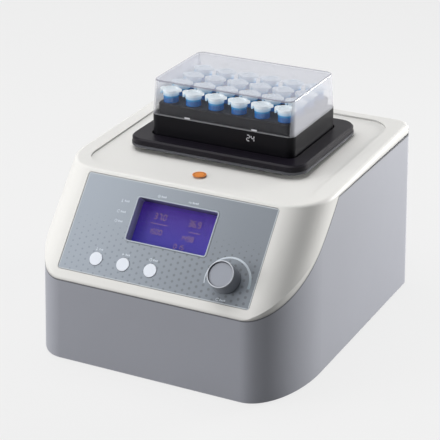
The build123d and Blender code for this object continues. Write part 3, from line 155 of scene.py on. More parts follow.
# %% Materials
class Look:
    """A procedural material round one Principled shader."""

    def __init__(self, name, colour, **constants):
        self.material = bpy.data.materials.new(name)
        self.material.use_nodes = True
        self.tree = self.material.node_tree
        self.shader = self.tree.nodes["Principled BSDF"]
        self.colour = linear(*colour)
        self.material.diffuse_color = self.colour
        for socket, value in constants.items():
            self.shader.inputs[socket.replace("_", " ")].default_value = value

    def node(self, kind, output, settings=None, **inputs):
        """Adds any node; returns one of its outputs."""
        node = self.tree.nodes.new("ShaderNode" + kind)
        for key, value in (settings or {}).items():
            setattr(node, key, value)
        for key, value in inputs.items():
            feed(self.tree, node.inputs[key.replace("_", " ")], value)
        return Wire(self.tree, node.outputs[output])

    def place(self):
        return self.node("TexCoord", "Object")

    def axes(self):
        """x, y and z of the point, in millimetres."""
        node = self.tree.nodes.new("ShaderNodeSeparateXYZ")
        feed(self.tree, node.inputs[0], self.place())
        return [Wire(self.tree, out) * 1000.0 for out in node.outputs]

    def noise(self, scale, detail=2.0, stretch=(1, 1, 1), roughness=0.5):
        """Noise from 0 to 1; scale counts features per metre."""
        spot = self.node("Mapping", 0, Vector=self.place(), Scale=stretch)
        return self.node(
            "TexNoise", 0, Vector=spot, Scale=scale, Detail=detail, Roughness=roughness,
        )

    def mix(self, first, second, factor):
        """Blends two colours."""
        node = self.tree.nodes.new("ShaderNodeMix")
        node.data_type = "RGBA"
        feed(self.tree, node.inputs[0], factor)
        feed(self.tree, node.inputs[6], first)
        feed(self.tree, node.inputs[7], second)
        return Wire(self.tree, node.outputs[2])

    def scaled(self, share):
        """The material's own colour, darker or lighter by a share."""
        return tuple(c * share for c in self.colour[:3]) + (1.0,)

    def drive(self, socket, value):
        """Feeds a Wire or a value to an input of the Principled shader."""
        feed(self.tree, self.shader.inputs[socket], value)
        return self

    def bump(self, height, distance, strength=1.0):
        """Roughens the surface; distance is the depth of the bumps in metres."""
        bump = self.node("Bump", 0, Height=height, Distance=distance, Strength=strength)
        return self.drive("Normal", bump)

    def dress(self, name):
        """Gives the material to a CAD node."""
        nodes[name].data.materials.clear()
        nodes[name].data.materials.append(self.material)


print("material class ready")

# %% [markdown]
# ## Recipes for plastic, metal and clear sheet
# Most pieces of such an instrument are one of three things. Moulded plastic comes out
# of an etched tool, so it has a fine pitted grain. Metal is drawn or turned, so it has
# long marks in one direction, which stretched noise gives. Clear plastic hides more of
# what is behind it where it is seen edge on; real refraction would be truer but noisy
# and slow, so a Layer Weight node drives plain transparency instead.

# %% Recipes
def moulded(name, colour, rough=0.45, grain=700.0, depth=0.03, clouding=0.05, **more):
    """Moulded plastic: fine pits, slow clouds in its colour, a slightly uneven shine."""
    look = Look(name, colour, **more)
    clouds = look.noise(14.0, 3.0)
    pits = look.noise(grain, 2.0, roughness=0.6)
    dark, light = look.scaled(1 - clouding), look.scaled(1 + clouding / 2)
    look.drive("Base Color", look.mix(dark, light, clouds))
    look.drive("Roughness", look.noise(55.0, 3.0) * 0.12 + (rough - 0.06))
    return look.bump(pits, depth * MM, 0.5)


def metal(name, colour, rough=0.32, stretch=(1, 1, 14), marks=260.0, depth=0.02, **more):
    """Drawn or turned metal: stretched noise gives marks in one direction."""
    look = Look(name, colour, Metallic=1.0, **more)
    lines = look.noise(marks, 3.0, stretch, 0.65)
    look.drive("Base Color", look.mix(look.scaled(0.86), look.scaled(1.06), lines))
    look.drive("Roughness", lines * 0.18 + (rough - 0.09))
    return look.bump(lines, depth * MM, 0.4)


def clear(name, colour, alpha, rim, rough=0.06, **more):
    """See-through plastic: thin seen straight on, denser where it is seen edge on."""
    look = Look(name, colour, **more)
    look.drive("Roughness", look.noise(30.0, 2.0) * 0.05 + rough)
    look.drive("Base Color", look.mix(look.scaled(0.94), look.scaled(1.04), look.noise(20.0, 3.0)))
    edge = look.node("LayerWeight", "Facing", Blend=0.5)
    look.haze = (edge * edge) * (rim - alpha) + alpha
    look.drive("Alpha", look.haze)
    return look.bump(look.noise(60.0, 2.0), 0.05 * MM, 0.3)


print("recipes ready")

# %% [markdown]
# ## Places on the sloping panel
# The keys, the display and the knob all sit on one face, which slopes up at 49.2
# degrees. Working out each place in world axes would be slow and easy to get wrong. So
# the panel gets axes of its own (across, up the slope, out of the face), once as a
# matrix for meshes and once as wires for materials.

# %% Panel frame
TILT = math.radians(49.2)
SLOPE_AT = Vector((0.0, -131.544, 71.5))
ACROSS = Vector((1, 0, 0))
UPHILL = Vector((0, math.cos(TILT), math.sin(TILT)))
OUTWARD = Vector((0, -math.sin(TILT), math.cos(TILT)))
PANEL = Matrix((
    (ACROSS.x, UPHILL.x, OUTWARD.x, SLOPE_AT.x * MM),
    (ACROSS.y, UPHILL.y, OUTWARD.y, SLOPE_AT.y * MM),
    (ACROSS.z, UPHILL.z, OUTWARD.z, SLOPE_AT.z * MM),
    (0, 0, 0, 1),
))


def panel_axes(look):
    """Wires for the place across and up the slope, in millimetres."""
    x, y, z = look.axes()
    up = (y - SLOPE_AT.y) * UPHILL.y + (z - SLOPE_AT.z) * UPHILL.z
    return x, up


def panel_depth(look):
    """A wire for the height over the sloping face, in millimetres; negative is inside."""
    y, z = look.axes()[1:]
    return (y - SLOPE_AT.y) * OUTWARD.y + (z - SLOPE_AT.z) * OUTWARD.z


print("panel origin", SLOPE_AT)

# %% [markdown]
# ## Where the two mouldings meet
# A white cover sits on a grey lower housing, and their seam runs level along the
# back, then down in a shallow curve beside the slope. Shadow makes such a line look
# darker than its 0.3 mm gap, and here that shade is painted into both mouldings. A
# separately painted line would need its own mesh; here the material works out its
# distance from the seam, which is an arc between two levels.

# %% Seam distance
# Each point of the seam is given as (y, z).
SEAM_FRONT = Vector((-131.56, 70.6))
SEAM_KINK = Vector((-28.0, 138.8))
SEAM_SAG = 7.6
SEAM_CHORD = SEAM_KINK - SEAM_FRONT
SEAM_R = SEAM_CHORD.length ** 2 / (8 * SEAM_SAG) + SEAM_SAG / 2
SEAM_MIDDLE = (SEAM_FRONT + SEAM_KINK) / 2
SEAM_CENTRE = SEAM_MIDDLE + SEAM_CHORD.orthogonal().normalized() * (SEAM_R - SEAM_SAG)


def seam_distance(look):
    """How far a point lies from the seam between the mouldings, in millimetres."""
    y, z = look.axes()[1:]
    across, up = y - SEAM_CENTRE.x, z - SEAM_CENTRE.y
    curve = abs((across * across + up * up).maths("SQRT") - SEAM_R)
    behind = y.ramp(SEAM_KINK.x - 0.5, SEAM_KINK.x + 0.5)
    ahead = 1.0 - y.ramp(SEAM_FRONT.x - 0.1, SEAM_FRONT.x + 0.1)
    beside = curve * (1.0 - behind) + abs(z - SEAM_KINK.y) * behind
    return beside * (1.0 - ahead) + abs(z - SEAM_FRONT.y) * ahead


print("seam radius", round(SEAM_R, 1))

# %% [markdown]
# ## Grey housing and white cover
# Both are injection moulded: the housing is textured to hide scratches, the cover is
# smoother so that spills wipe off. The two differ in colour, grain and shine, and
# both get a painted shade towards the seam, which is all that a viewer needs in order
# to read them as two separate shells.

# %% Housing looks
def housing_look():
    """Grey, and darker along its upper lip, where the seam keeps the light out."""
    look = moulded("housing_grey", (156, 158, 167), rough=0.46, depth=0.03)
    wall = look.mix(look.scaled(0.95), look.scaled(1.025), look.noise(14.0, 3.0))
    # painted shade: the grey darkens within about a millimetre of the seam
    clear_of_seam_shade = seam_distance(look).ramp(0.45, 1.0)
    return look.drive("Base Color", look.mix(look.scaled(0.42), wall, clear_of_seam_shade))


def cover_look():
    """Off-white, with painted shade that makes it a little greyer at the lip over the seam."""
    look = moulded(
        "cover_white", (224, 223, 220), rough=0.46, clouding=0.025, depth=0.02,
        Specular_IOR_Level=0.3,
    )
    wall = look.mix(look.scaled(0.975), look.scaled(1.012), look.noise(14.0, 3.0))
    # painted shade: the white turns greyer within about two millimetres of the seam
    clear_of_seam_shade = seam_distance(look).ramp(0.3, 2.2)
    return look.drive("Base Color", look.mix(look.scaled(0.70), wall, clear_of_seam_shade))


looks = {"housing_grey": housing_look(), "cover_white": cover_look()}
print("mouldings:", sorted(looks))

# %% [markdown]
# ## Printed panel film
# The control face is a thin polyester film, printed from behind. Its grey runs from
# light at the left to dark at the right, which is a painted sheen, and a halftone of
# small dots grows towards the knob. Round its edge runs a thin painted shadow line and,
# just inside it, a light band that is a painted highlight. Thousands of dot meshes would
# be heavy. Instead two staggered lattices are made with modulo arithmetic, and the
# distance to the nearest lattice point decides between ground and dot.

# %% Overlay look
OVERLAY_HALF = (83.6, 41.0)
OVERLAY_MIDDLE = 49.4
DOT_PITCH = (10.4, 5.0)


def overlay_look():
    """Grey film with a painted highlight along its border, a painted shadow line at its edge, a
    side-to-side painted sheen and a halftone of dots.
    """
    look = Look("overlay_grey", (145, 153, 163), Coat_Weight=0.25, Coat_Roughness=0.25)
    x, up = panel_axes(look)

    def lattice(shift):
        return [
            abs(((along + step * shift) % step) - step / 2)
            for along, step in zip((x, up), DOT_PITCH)
        ]

    near = [(a * a + b * b).maths("SQRT") for a, b in (lattice(0.0), lattice(0.5))]
    nearest = near[0].maths("MINIMUM", near[1])
    low = 1.0 - up.ramp(34.0, 70.0)
    towards_knob = x.ramp(-110.0, 70.0)
    size = low * (towards_knob * 0.5 + 0.7)
    dots = (size - nearest).ramp(-0.35, 0.5)
    # painted sheen: the film is lighter at the left and darker at the right
    shine = x.ramp(-95.0, 95.0)
    ground = look.mix(look.scaled(1.18), look.scaled(0.66), shine)
    darker = look.mix(look.scaled(0.86), look.scaled(0.42), shine)
    from_ends = OVERLAY_HALF[0] - abs(x)
    edge = from_ends.maths("MINIMUM", OVERLAY_HALF[1] - abs(up - OVERLAY_MIDDLE))
    dotted = look.mix(ground, darker, dots)
    # painted highlight: a light band just inside the edge of the film
    lit = look.mix(dotted, linear(182, 188, 194), 1.0 - edge.ramp(0.8, 1.3))
    # painted shadow: a thin dark line at the very edge of the film
    line = edge.ramp(0.2, 0.45)
    look.drive("Base Color", look.mix(linear(138, 138, 140), lit, line))
    look.drive("Roughness", look.noise(90.0, 3.0) * 0.1 + 0.36)
    return look.bump(look.noise(1500.0, 1.0), 0.01 * MM, 0.4)


looks["overlay_grey"] = overlay_look()
print("panel film: dots every", DOT_PITCH)

# %% [markdown]
# ## Frame of the display
# The display lies about 10 mm below the film, at the bottom of a plastic frame. Its
# rim is light, and its walls get a painted shade that darkens with depth. One more lamp
# inside the recess would cost noise, so the height above the slope drives the colour.
# The two end walls get painted light and are lighter than the long ones.

# %% Bezel look
DISPLAY_X = 0.8


def bezel_look():
    """Light at the rim, painted shade down the walls of the recess, painted light on the end
    walls.
    """
    look = moulded("bezel_grey", (172, 180, 190), rough=0.42, depth=0.01)
    deep = 0.0 - panel_depth(look)
    x = panel_axes(look)[0]
    # painted shade: the walls darken with depth
    down = deep.ramp(1.5, 9.5)
    long_wall = look.mix(linear(104, 107, 116), linear(48, 48, 60), down)
    end_wall = look.mix(linear(196, 199, 206), linear(158, 161, 172), down)
    # painted light: the end walls are kept lighter than the long ones
    wall = look.mix(long_wall, end_wall, abs(x - DISPLAY_X).ramp(33.0, 33.6))
    return look.drive("Base Color", look.mix(look.colour, wall, deep.ramp(0.1, 0.8)))


looks["bezel_grey"] = bezel_look()
print("main looks:", sorted(looks))

# %% [markdown]
# ## Display
# A lit liquid crystal display has an even glow and a fine cell structure. It could
# be a photo of a screen, but a plain emission with slow noise is enough at this size,
# and it stays free of words. The emission is weak, so that the violet stays a colour
# and doesn't turn white.

# %% Display looks
def display_look():
    """Violet glow, brighter towards the top, over a fine cell structure."""
    look = Look("display_violet", (56, 42, 150), Emission_Strength=0.42)
    up = panel_axes(look)[1]
    bright = up.ramp(40.0, 82.0) * 0.6 + look.noise(25.0, 2.0) * 0.3
    glow = look.mix(linear(52, 48, 158), linear(84, 44, 160), bright)
    look.drive("Base Color", glow)
    look.drive("Emission Color", glow)
    cells = look.noise(2400.0, 0.0)
    look.drive("Roughness", cells * 0.1 + 0.4)
    return look


looks["display_violet"] = display_look()
looks["display_glass"] = clear("display_glass", (150, 150, 200), 0.03, 0.2, rough=0.05)
looks["digits"] = moulded("digits", (138, 108, 128), rough=0.5)
print("display looks ready")

# %% [markdown]
# ## Buttons, knob and small plastics
# The keys are glossy white caps, and the knob is a turned grey piece with a dish in
# its face. Its rim is painted lighter, a painted highlight, and the wall of the dish is
# painted dark, a painted shadow; the disc in the dish gets painted shade along its
# border. These are decided by height over the panel and distance from the knob's axis.
# Because they are round about that axis, they stay right while the knob turns.

# %% Control looks
KNOB_AT = (58.7, 27.9)
KNOB_TOP = 13.7
KNOB_DISH_R = 9.9
looks["button_white"] = moulded(
    "button_white", (226, 231, 240), rough=0.35, depth=0.01, clouding=0.02,
)


def from_knob_axis(look):
    """A wire for the distance from the knob's axis, in millimetres."""
    x, up = panel_axes(look)
    across, along = x - KNOB_AT[0], up - KNOB_AT[1]
    return (across * across + along * along).maths("SQRT")


def knob_look():
    """Grey, with a painted highlight on its rim and a painted shadow on the wall inside the dish.
    """
    look = moulded("knob_grey", (118, 122, 131), rough=0.36, depth=0.015)
    # painted highlight: the rim is lighter
    rim = panel_depth(look).ramp(KNOB_TOP - 0.9, KNOB_TOP - 0.3)
    outside = look.mix(look.colour, linear(196, 200, 208), rim)
    # painted shadow: the wall inside the dish is dark
    inside = from_knob_axis(look).ramp(KNOB_DISH_R + 0.05, KNOB_DISH_R + 0.2)
    return look.drive("Base Color", look.mix(linear(52, 53, 58), outside, inside))


def knob_face_look():
    """The disc in the dish, with painted shade along its border."""
    look = moulded("knob_face", (152, 156, 166), rough=0.34, depth=0.01)
    # painted shade along the border of the disc
    border = from_knob_axis(look).ramp(KNOB_DISH_R - 1.0, KNOB_DISH_R)
    return look.drive("Base Color", look.mix(look.colour, look.scaled(0.6), border))


looks["knob_grey"] = knob_look()
looks["knob_face"] = knob_face_look()
looks["rocker_black"] = moulded("rocker_black", (34, 34, 36), rough=0.25, depth=0.01)
looks["black_plastic"] = moulded("black_plastic", (40, 40, 43), rough=0.5)
looks["bush_plastic"] = moulded("bush_plastic", (196, 182, 148), rough=0.5)
print("control looks ready")

# %% [markdown]
# ## Metals, paint and rubber
# These pieces are mostly seen from behind or when something is lifted: the guard of
# the fan, the plate under the platform, screws, feet and the black block. Each one
# uses a recipe with its own colour and direction of marks. The black pieces reflect
# little, because a strong shine would turn black plastic grey.

# %% Metal looks
looks["steel_sheet"] = metal("steel_sheet", (186, 188, 192), rough=0.36, stretch=(14, 1, 1))
looks["screw_steel"] = metal("screw_steel", (176, 177, 180), rough=0.3)
looks["aluminium"] = metal("aluminium", (205, 206, 209), rough=0.34, stretch=(1, 1, 20))
looks["brass"] = metal("brass", (208, 172, 104), rough=0.3, stretch=(1, 1, 20))
looks["base_grey"] = metal("base_grey", (84, 85, 90), rough=0.42, stretch=(1, 1, 1), marks=900.0)
looks["black_paint"] = moulded("black_paint", (36, 36, 39), rough=0.36, depth=0.02)
looks["platform_black"] = moulded(
    "platform_black", (20, 17, 25), rough=0.36, depth=0.015, Specular_IOR_Level=0.16,
)
looks["block_black"] = moulded(
    "block_black", (13, 12, 17), rough=0.34, depth=0.01, Specular_IOR_Level=0.12,
)
looks["rubber"] = moulded("rubber", (44, 44, 46), rough=0.8, depth=0.04)
print("metals and rubber ready")

# %% [markdown]
# ## Insulation and circuit boards
# Two finishes need patterns of their own. The insulating pad is felt, so its noise is
# stretched into fibres and it has a little sheen. A circuit board is a brick pattern
# that patches of noise break up, which reads as copper tracks without drawing one.

# %% Pad and board looks
def felt_look():
    """Matt fibres that catch a little light at the edge."""
    look = Look("foam", (214, 208, 190), Sheen_Weight=0.4)
    fibres = look.noise(900.0, 4.0, (1, 1, 5), 0.7)
    look.drive("Base Color", look.mix(look.scaled(0.78), look.scaled(1.05), fibres))
    look.drive("Roughness", fibres * 0.1 + 0.85)
    return look.bump(fibres, 0.3 * MM, 0.8)


def board_look():
    """Green lacquer with lighter tracks under it."""
    look = Look("board_green", (38, 110, 72), Coat_Weight=0.3)
    tracks = look.node(
        "TexBrick", "Fac", {"offset": 0.37, "squash": 1.6},
        Vector=look.place(), Scale=120.0, Mortar_Size=0.035, Brick_Width=0.9, Row_Height=0.35,
    )
    patches = look.noise(60.0, 2.0).ramp(0.45, 0.55)
    look.drive("Base Color", look.mix(look.scaled(0.75), look.scaled(1.5), tracks * patches))
    look.drive("Roughness", look.noise(80.0, 2.0) * 0.1 + 0.4)
    return look.bump(tracks, 0.04 * MM, 0.5)


looks["foam"] = felt_look()
looks["board_green"] = board_look()
print("looks so far:", len(looks))

# %% [markdown]
# ## Samples, caps and lid
# The tubes are clear and hold a blue liquid. A shell of plastic round a body of
# liquid would be the exact way, but at this size only the colour of the liquid and the
# milky caps can be seen. So the tubes are coloured as liquid, a little lighter at the
# top, and the caps and the lid are see-through. The liquid and the caps also get a weak
# emission, a painted glow in place of the light that passes through them.

# %% Tube and cap looks
def sample_look():
    """Blue liquid, lighter towards the top of the tube, with a weak painted glow."""
    # Emission_Strength gives a painted glow for light that passes through the liquid
    look = Look(
        "sample_blue", (30, 112, 190),
        Specular_IOR_Level=0.5, Coat_Weight=0.3, Emission_Strength=0.16,
    )
    z = look.axes()[2]
    upper = z.ramp(182.6, 186.2)
    swirl = look.noise(160.0, 2.0)
    deep = look.mix(linear(0, 62, 136), linear(2, 112, 186), swirl)
    body = look.mix(deep, linear(48, 162, 214), upper)
    look.drive("Base Color", body)
    look.drive("Emission Color", body)
    look.drive("Roughness", swirl * 0.1 + 0.18)
    return look.bump(look.noise(500.0, 1.0), 0.02 * MM, 0.3)


looks["sample_blue"] = sample_look()


def cap_look():
    """Milky clear plastic, a little bluer low down, where the sample shows through, with a weak
    painted glow.
    """
    # Emission_Strength gives a painted glow for light that passes through the cap
    look = clear("cap_clear", (242, 248, 250), 0.80, 0.97, rough=0.22, Emission_Strength=0.2)
    z = look.axes()[2]
    tone = look.mix(linear(186, 214, 232), look.colour, z.ramp(185.8, 188.4))
    return look.drive("Base Color", tone).drive("Emission Color", tone)


looks["cap_clear"] = cap_look()
print("sample and cap looks ready")

# %% [markdown]
# ## Clear lid
# A moulded lid is clearest on its walls. Its roof is hazier, its end walls carry a
# painted reflection, and its foot shows as a painted highlight, a bright line. Each of
# these is a band in z or in x, and the densest band wins at every point. The rim of the
# roof is painted darker, a painted shade for a thick edge that lets less light through.

# %% Lid look
def lid_look():
    """Clear, hazier on top, with a painted reflection at the ends, a painted highlight along the
    foot and painted shade on the top edge.
    """
    look = clear("lid_clear", (226, 226, 232), 0.02, 0.50, rough=0.03)
    x, y, z = look.axes()
    # painted highlight: a bright line along the foot
    foot = 1.0 - z.ramp(170.75, 171.15)
    roof = z.ramp(198.0, 198.6)
    # painted shade: a darker line along the top edge
    crown = z.ramp(198.7, 199.1) * (1.0 - z.ramp(199.84, 199.96))
    # painted reflection: the end walls are hazier
    ends = abs(x).ramp(59.7, 61.2)
    tone = look.mix(linear(224, 225, 233), linear(196, 199, 211), roof)
    tone = look.mix(tone, linear(118, 116, 130), crown)
    look.drive("Base Color", look.mix(tone, linear(222, 223, 228), foot))
    dense = look.haze.maths("MAXIMUM", foot * 0.42).maths("MAXIMUM", roof * 0.40)
    dense = dense.maths("MAXIMUM", ends * 0.42).maths("MAXIMUM", crown * 0.68)
    return look.drive("Alpha", dense)


looks["lid_clear"] = lid_look()
print("lid look ready")

# %% [markdown]
# ## Every node gets its material
# The record names a material slot for each node. The looks carry the same names, so
# one loop dresses the whole instrument. Assigning by hand would work too, but a node
# would easily be forgotten.

# %% Dress the nodes
slot_of = {part["node"]: part["material_slot"] for part in frame["record"]["subparts"]}
for name in nodes:
    looks[slot_of[name]].dress(name)
print("dressed", len(nodes), "nodes")

# %% [markdown]
# ## Thin plates and discs
# Screen printing leaves a layer a few hundredths of a millimetre thick. It could be
# part of the film's material, but small separate plates keep their sharp outline from
# every side. Each plate is one face or one circle that extrude_face_region thickens.

# %% Mesh helpers
def new_piece(name, mesh, look, body):
    """Puts a finished mesh in the scene, on its body."""
    data = bpy.data.meshes.new(name)
    bmesh.ops.remove_doubles(mesh, verts=mesh.verts, dist=1e-7)
    bmesh.ops.recalc_face_normals(mesh, faces=mesh.faces)
    mesh.to_mesh(data)
    mesh.free()
    data.materials.append(look.material)
    piece = bpy.data.objects.new(name, data)
    bpy.context.scene.collection.objects.link(piece)
    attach(piece, body)
    return piece


def thicken(mesh, faces, height, place):
    """Extrudes flat faces along the outward axis of place."""
    grown = bmesh.ops.extrude_face_region(mesh, geom=faces)["geom"]
    raised = [item for item in grown if isinstance(item, bmesh.types.BMVert)]
    lift = place.to_3x3() @ Vector((0, 0, height * MM))
    bmesh.ops.translate(mesh, vec=lift, verts=raised)


def plate(mesh, outline, low, high, place):
    """A flat plate with the given outline, in millimetres, set down by place."""
    corners = [mesh.verts.new(place @ Vector((x * MM, y * MM, low * MM))) for x, y in outline]
    thicken(mesh, [mesh.faces.new(corners)], high - low, place)


def disc(mesh, x, y, r, low, high, place, count=32):
    """A round plate."""
    spot = place @ Matrix.Translation(Vector((x, y, low)) * MM)
    made = bmesh.ops.create_circle(mesh, cap_ends=True, segments=count, radius=r * MM, matrix=spot)
    thicken(mesh, list(made["verts"][0].link_faces), high - low, place)


def bar(x0, y0, x1, y1, width):
    """The outline of a stroke from one point to another."""
    run = Vector((x1 - x0, y1 - y0)).normalized() * (width / 2)
    return [
        (x0 + run.y, y0 - run.x), (x1 + run.y, y1 - run.x),
        (x1 - run.y, y1 + run.x), (x0 - run.y, y0 + run.x),
    ]


print("plate helpers ready")

# %% [markdown]
# ## Curved strokes
# Rings, clock faces and the scale round the knob are strokes along a circle. Typing
# their corners would be long and coarse. A short edge across the stroke is spun round
# the centre instead; for a stroke that swells, its corners are then moved away from
# its middle line by a share that grows along the arc.

# %% Arcs
def swell(strip, centre, r, start, end, growth, place):
    """Widens a stroke bit by bit from its start to its end."""
    back = place.inverted()
    for corner in {v for face in strip for v in face.verts}:
        flat = (back @ corner.co) / MM - centre
        angle = math.degrees(math.atan2(flat.y, flat.x))
        share = ((angle - start) / (end - start)) % (360 / abs(end - start))
        reach = r + (flat.length - r) * (1 + growth * min(share, 1.0))
        corner.co = place @ ((centre + flat.normalized() * reach) * MM)


def arc(mesh, x, y, r, start, end, width, low, high, place, count=24):
    """A radial edge spun about a centre; width may be a pair for a stroke that swells."""
    first, last = width if isinstance(width, tuple) else (width, width)
    turn = Matrix.Rotation(math.radians(start), 4, "Z")
    centre = Vector((x, y, low))
    ends = []
    for side in (-1, 1):
        spoke = turn @ Vector((r + side * first / 2, 0, 0))
        ends.append(mesh.verts.new(place @ ((centre + spoke) * MM)))
    edge = mesh.edges.new(ends)
    before = set(mesh.faces)
    bmesh.ops.spin(
        mesh, geom=ends + [edge], cent=place @ (centre * MM),
        axis=place.to_3x3() @ Vector((0, 0, 1)), angle=math.radians(end - start),
        steps=count, use_merge=abs(end - start) >= 360,
    )
    strip = [face for face in mesh.faces if face not in before]
    if last != first:
        swell(strip, centre, r, start, end, last / first - 1, place)
    thicken(mesh, strip, high - low, place)


print("stroke helpers ready")

# %% [markdown]
# ## Printed marks on the panel
# Beside the display and over each key the film carries a short label. Here every
# label is a neutral picture and a row of light blocks, which shows where a label is
# without using any words. One mesh holds them all, since they are one layer of ink.

# %% Panel print
PRINT_LOW = -0.21
PRINT_HIGH = -0.17


def print_look():
    """Light print, which fades towards the lower right end of the arc."""
    look = Look("print_light", (196, 204, 213))
    x, up = panel_axes(look)
    fade = x.ramp(64.0, 78.0) * (1.0 - up.ramp(20.0, 44.0))
    look.drive("Base Color", look.mix(look.scaled(1.0), linear(132, 150, 158), fade))
    look.drive("Roughness", look.noise(90.0, 2.0) * 0.1 + 0.36)
    return look


looks["print_light"] = print_look()
print_mesh = bmesh.new()


def printed(*outlines):
    """Prints flat outlines on the panel."""
    for outline in outlines:
        plate(print_mesh, outline, PRINT_LOW, PRINT_HIGH, PANEL)


def print_disc(x, s, r, count):
    disc(print_mesh, x, s, r, PRINT_LOW, PRINT_HIGH, PANEL, count)


def print_arc(x, s, r, start, end, width, count):
    arc(print_mesh, x, s, r, start, end, width, PRINT_LOW, PRINT_HIGH, PANEL, count)


print("print is", round(PRINT_HIGH - PRINT_LOW, 3), "mm thick")

# %% [markdown]
# ## Small pictures
# Each picture is made of one to three shapes: a bulb and a stem for temperature, an
# open ring with an arrow for speed, a ring with hands for time. At two millimetres
# wide more detail would only turn to grey. Here x runs across the panel and s up it.

# %% Pictures
def thermometer(x, s):
    print_disc(x, s - 0.8, 0.62, 20)
    printed(bar(x, s - 0.4, x, s + 1.3, 0.5))


def turning(x, s):
    print_arc(x, s, 1.05, 60, 330, 0.4, 14)
    printed([(x + 0.35, s + 1.55), (x + 0.35, s + 0.35), (x + 1.35, s + 0.95)])


def clock(x, s):
    print_arc(x, s, 1.1, 0, 360, 0.36, 20)
    printed(bar(x, s, x, s + 0.75, 0.3), bar(x + 0.15, s, x + 0.6, s, 0.3))


def target(x, s):
    print_arc(x, s, 1.05, 0, 360, 0.36, 20)
    print_disc(x, s, 0.4, 14)


def wave(x, s):
    points = [(x - 1.3, s - 0.5), (x - 0.5, s + 0.7), (x + 0.4, s - 0.7), (x + 1.3, s + 0.6)]
    printed(*[bar(*a, *b, 0.4) for a, b in zip(points, points[1:])])


def play(x, s):
    printed([(x - 0.7, s - 1.0), (x + 1.1, s), (x - 0.7, s + 1.0)])


print("pictures ready")

# %% [markdown]
# ## Label layout
# A label's text is replaced by blocks of three heights, which has the rhythm of a
# word. All labels are listed in one table with their place up the slope, so that a
# change of layout is a change of numbers.

# %% Label layout
BLOCK_PITCH = 1.25
BLOCK_SHARE = 0.72
BLOCK_HEIGHTS = (1.5, 1.1, 1.3)


def light_bar(x, s, length):
    """A row of short blocks, taller and lower by turns."""
    count = max(3, round(length / BLOCK_PITCH))
    step = length / count
    for i in range(count):
        left = x - length / 2 + i * step
        right = left + step * BLOCK_SHARE
        foot = s - 0.6
        head = foot + BLOCK_HEIGHTS[i % len(BLOCK_HEIGHTS)]
        printed([(left, foot), (right, foot), (right, head), (left, head)])


for picture, x, s, length in (
    (target, -14.5, 81.4, 4.6),
    (wave, 13.3, 81.3, 5.4),
    (thermometer, -44.4, 72.3, 4.4),
    (turning, -44.8, 63.3, 4.6),
    (clock, -44.5, 55.4, 4.0),
    (thermometer, -52.7, 29.9, 3.6),
    (play, -29.0, 30.0, 4.0),
    (clock, -4.6, 30.4, 4.2),
    (turning, 59.3, 11.4, 5.0),
):
    picture(x - length / 2 - 0.6, s)
    light_bar(x + 1.5, s, length)
print_arc(KNOB_AT[0] + 0.9, KNOB_AT[1] - 1.0, 18.6, 196, -8, (0.7, 2.1), 60)
marks = new_piece("panel_marks", print_mesh, looks["print_light"], "root")
print("panel marks:", len(marks.data.polygons), "faces")

# %% [markdown]
# ## Digits of the display
# The screen shows set and actual values in two columns. A font object could write
# them, but fonts differ between computers. Seven-segment figures need only seven bars,
# and they are what such a display really has.

# %% Display digits
SEGMENTS = {
    "0": "abcdef", "1": "bc", "2": "abged", "3": "abgcd", "4": "fgbc", "5": "afgcd",
    "6": "afgedc", "7": "abc", "8": "abcdefg", "9": "abcdfg", "-": "g",
}
DIGIT_LOW = -10.01
DIGIT_HIGH = -9.96


def digit(mesh, sign, x, s, height, low, high, place):
    """One seven-segment figure with its lower left corner at (x, s)."""
    wide = height * 0.52
    thick = height * 0.14
    half = height / 2
    strokes = {
        "a": (0, height, wide, height),
        "b": (wide, height, wide, half),
        "c": (wide, half, wide, 0),
        "d": (0, 0, wide, 0),
        "e": (0, 0, 0, half),
        "f": (0, half, 0, height),
        "g": (0, half, wide, half),
    }
    for name in SEGMENTS[sign]:
        x0, y0, x1, y1 = strokes[name]
        run = Vector((x1 - x0, y1 - y0)).normalized() * thick * 0.55
        shape = bar(x + x0 + run.x, s + y0 + run.y, x + x1 - run.x, s + y1 - run.y, thick)
        plate(mesh, shape, low, high, place)


def number(mesh, text, x, s, height, low, high, place):
    """A row of figures, with points and colons."""
    for sign in text:
        if sign in ".:":
            ups = (0.0,) if sign == "." else (0.3, 0.7)
            for up in ups:
                disc(mesh, x - height * 0.12, s + height * up, height * 0.09, low, high, place, 10)
            x += height * (0.14 if sign == "." else 0.22)
        else:
            digit(mesh, sign, x, s, height, low, high, place)
            x += height * 0.8


print("figures:", len(SEGMENTS))

# %% [markdown]
# ## What the display shows
# Temperature and speed are given twice, as set and as measured, and the time once. A
# line runs under each figure of the upper pair. The colour is close to the violet
# ground, because such a display has little contrast from the side.

# %% Display numbers
digit_mesh = bmesh.new()
for text, x, s, height in (
    ("37.0", -21.0, 65.6, 4.6),
    ("36.9", 9.5, 65.2, 4.6),
    ("1500", -22.0, 53.4, 3.9),
    ("1498", 6.0, 53.0, 3.9),
    ("0:15", 3.0, 45.4, 3.6),
):
    number(digit_mesh, text, x, s, height, DIGIT_LOW, DIGIT_HIGH, PANEL)
for x, s, length in ((-15.0, 61.8, 15.0), (16.5, 60.4, 10.0)):
    plate(digit_mesh, bar(x - length / 2, s, x + length / 2, s, 0.4), DIGIT_LOW, DIGIT_HIGH, PANEL)
digits = new_piece("display_digits", digit_mesh, looks["digits"], "root")
print("digits:", len(digits.data.polygons), "faces")

# %% [markdown]
# ## Round heat mark on the deck
# The deck in front of the platform gets hot, and an orange mark says so. It is a
# plain disc with a thin darker ring, with no sign on it. The deck rises slightly
# towards the back, so the mark's own matrix is tilted by the same angle and it lies
# flat on the plastic.

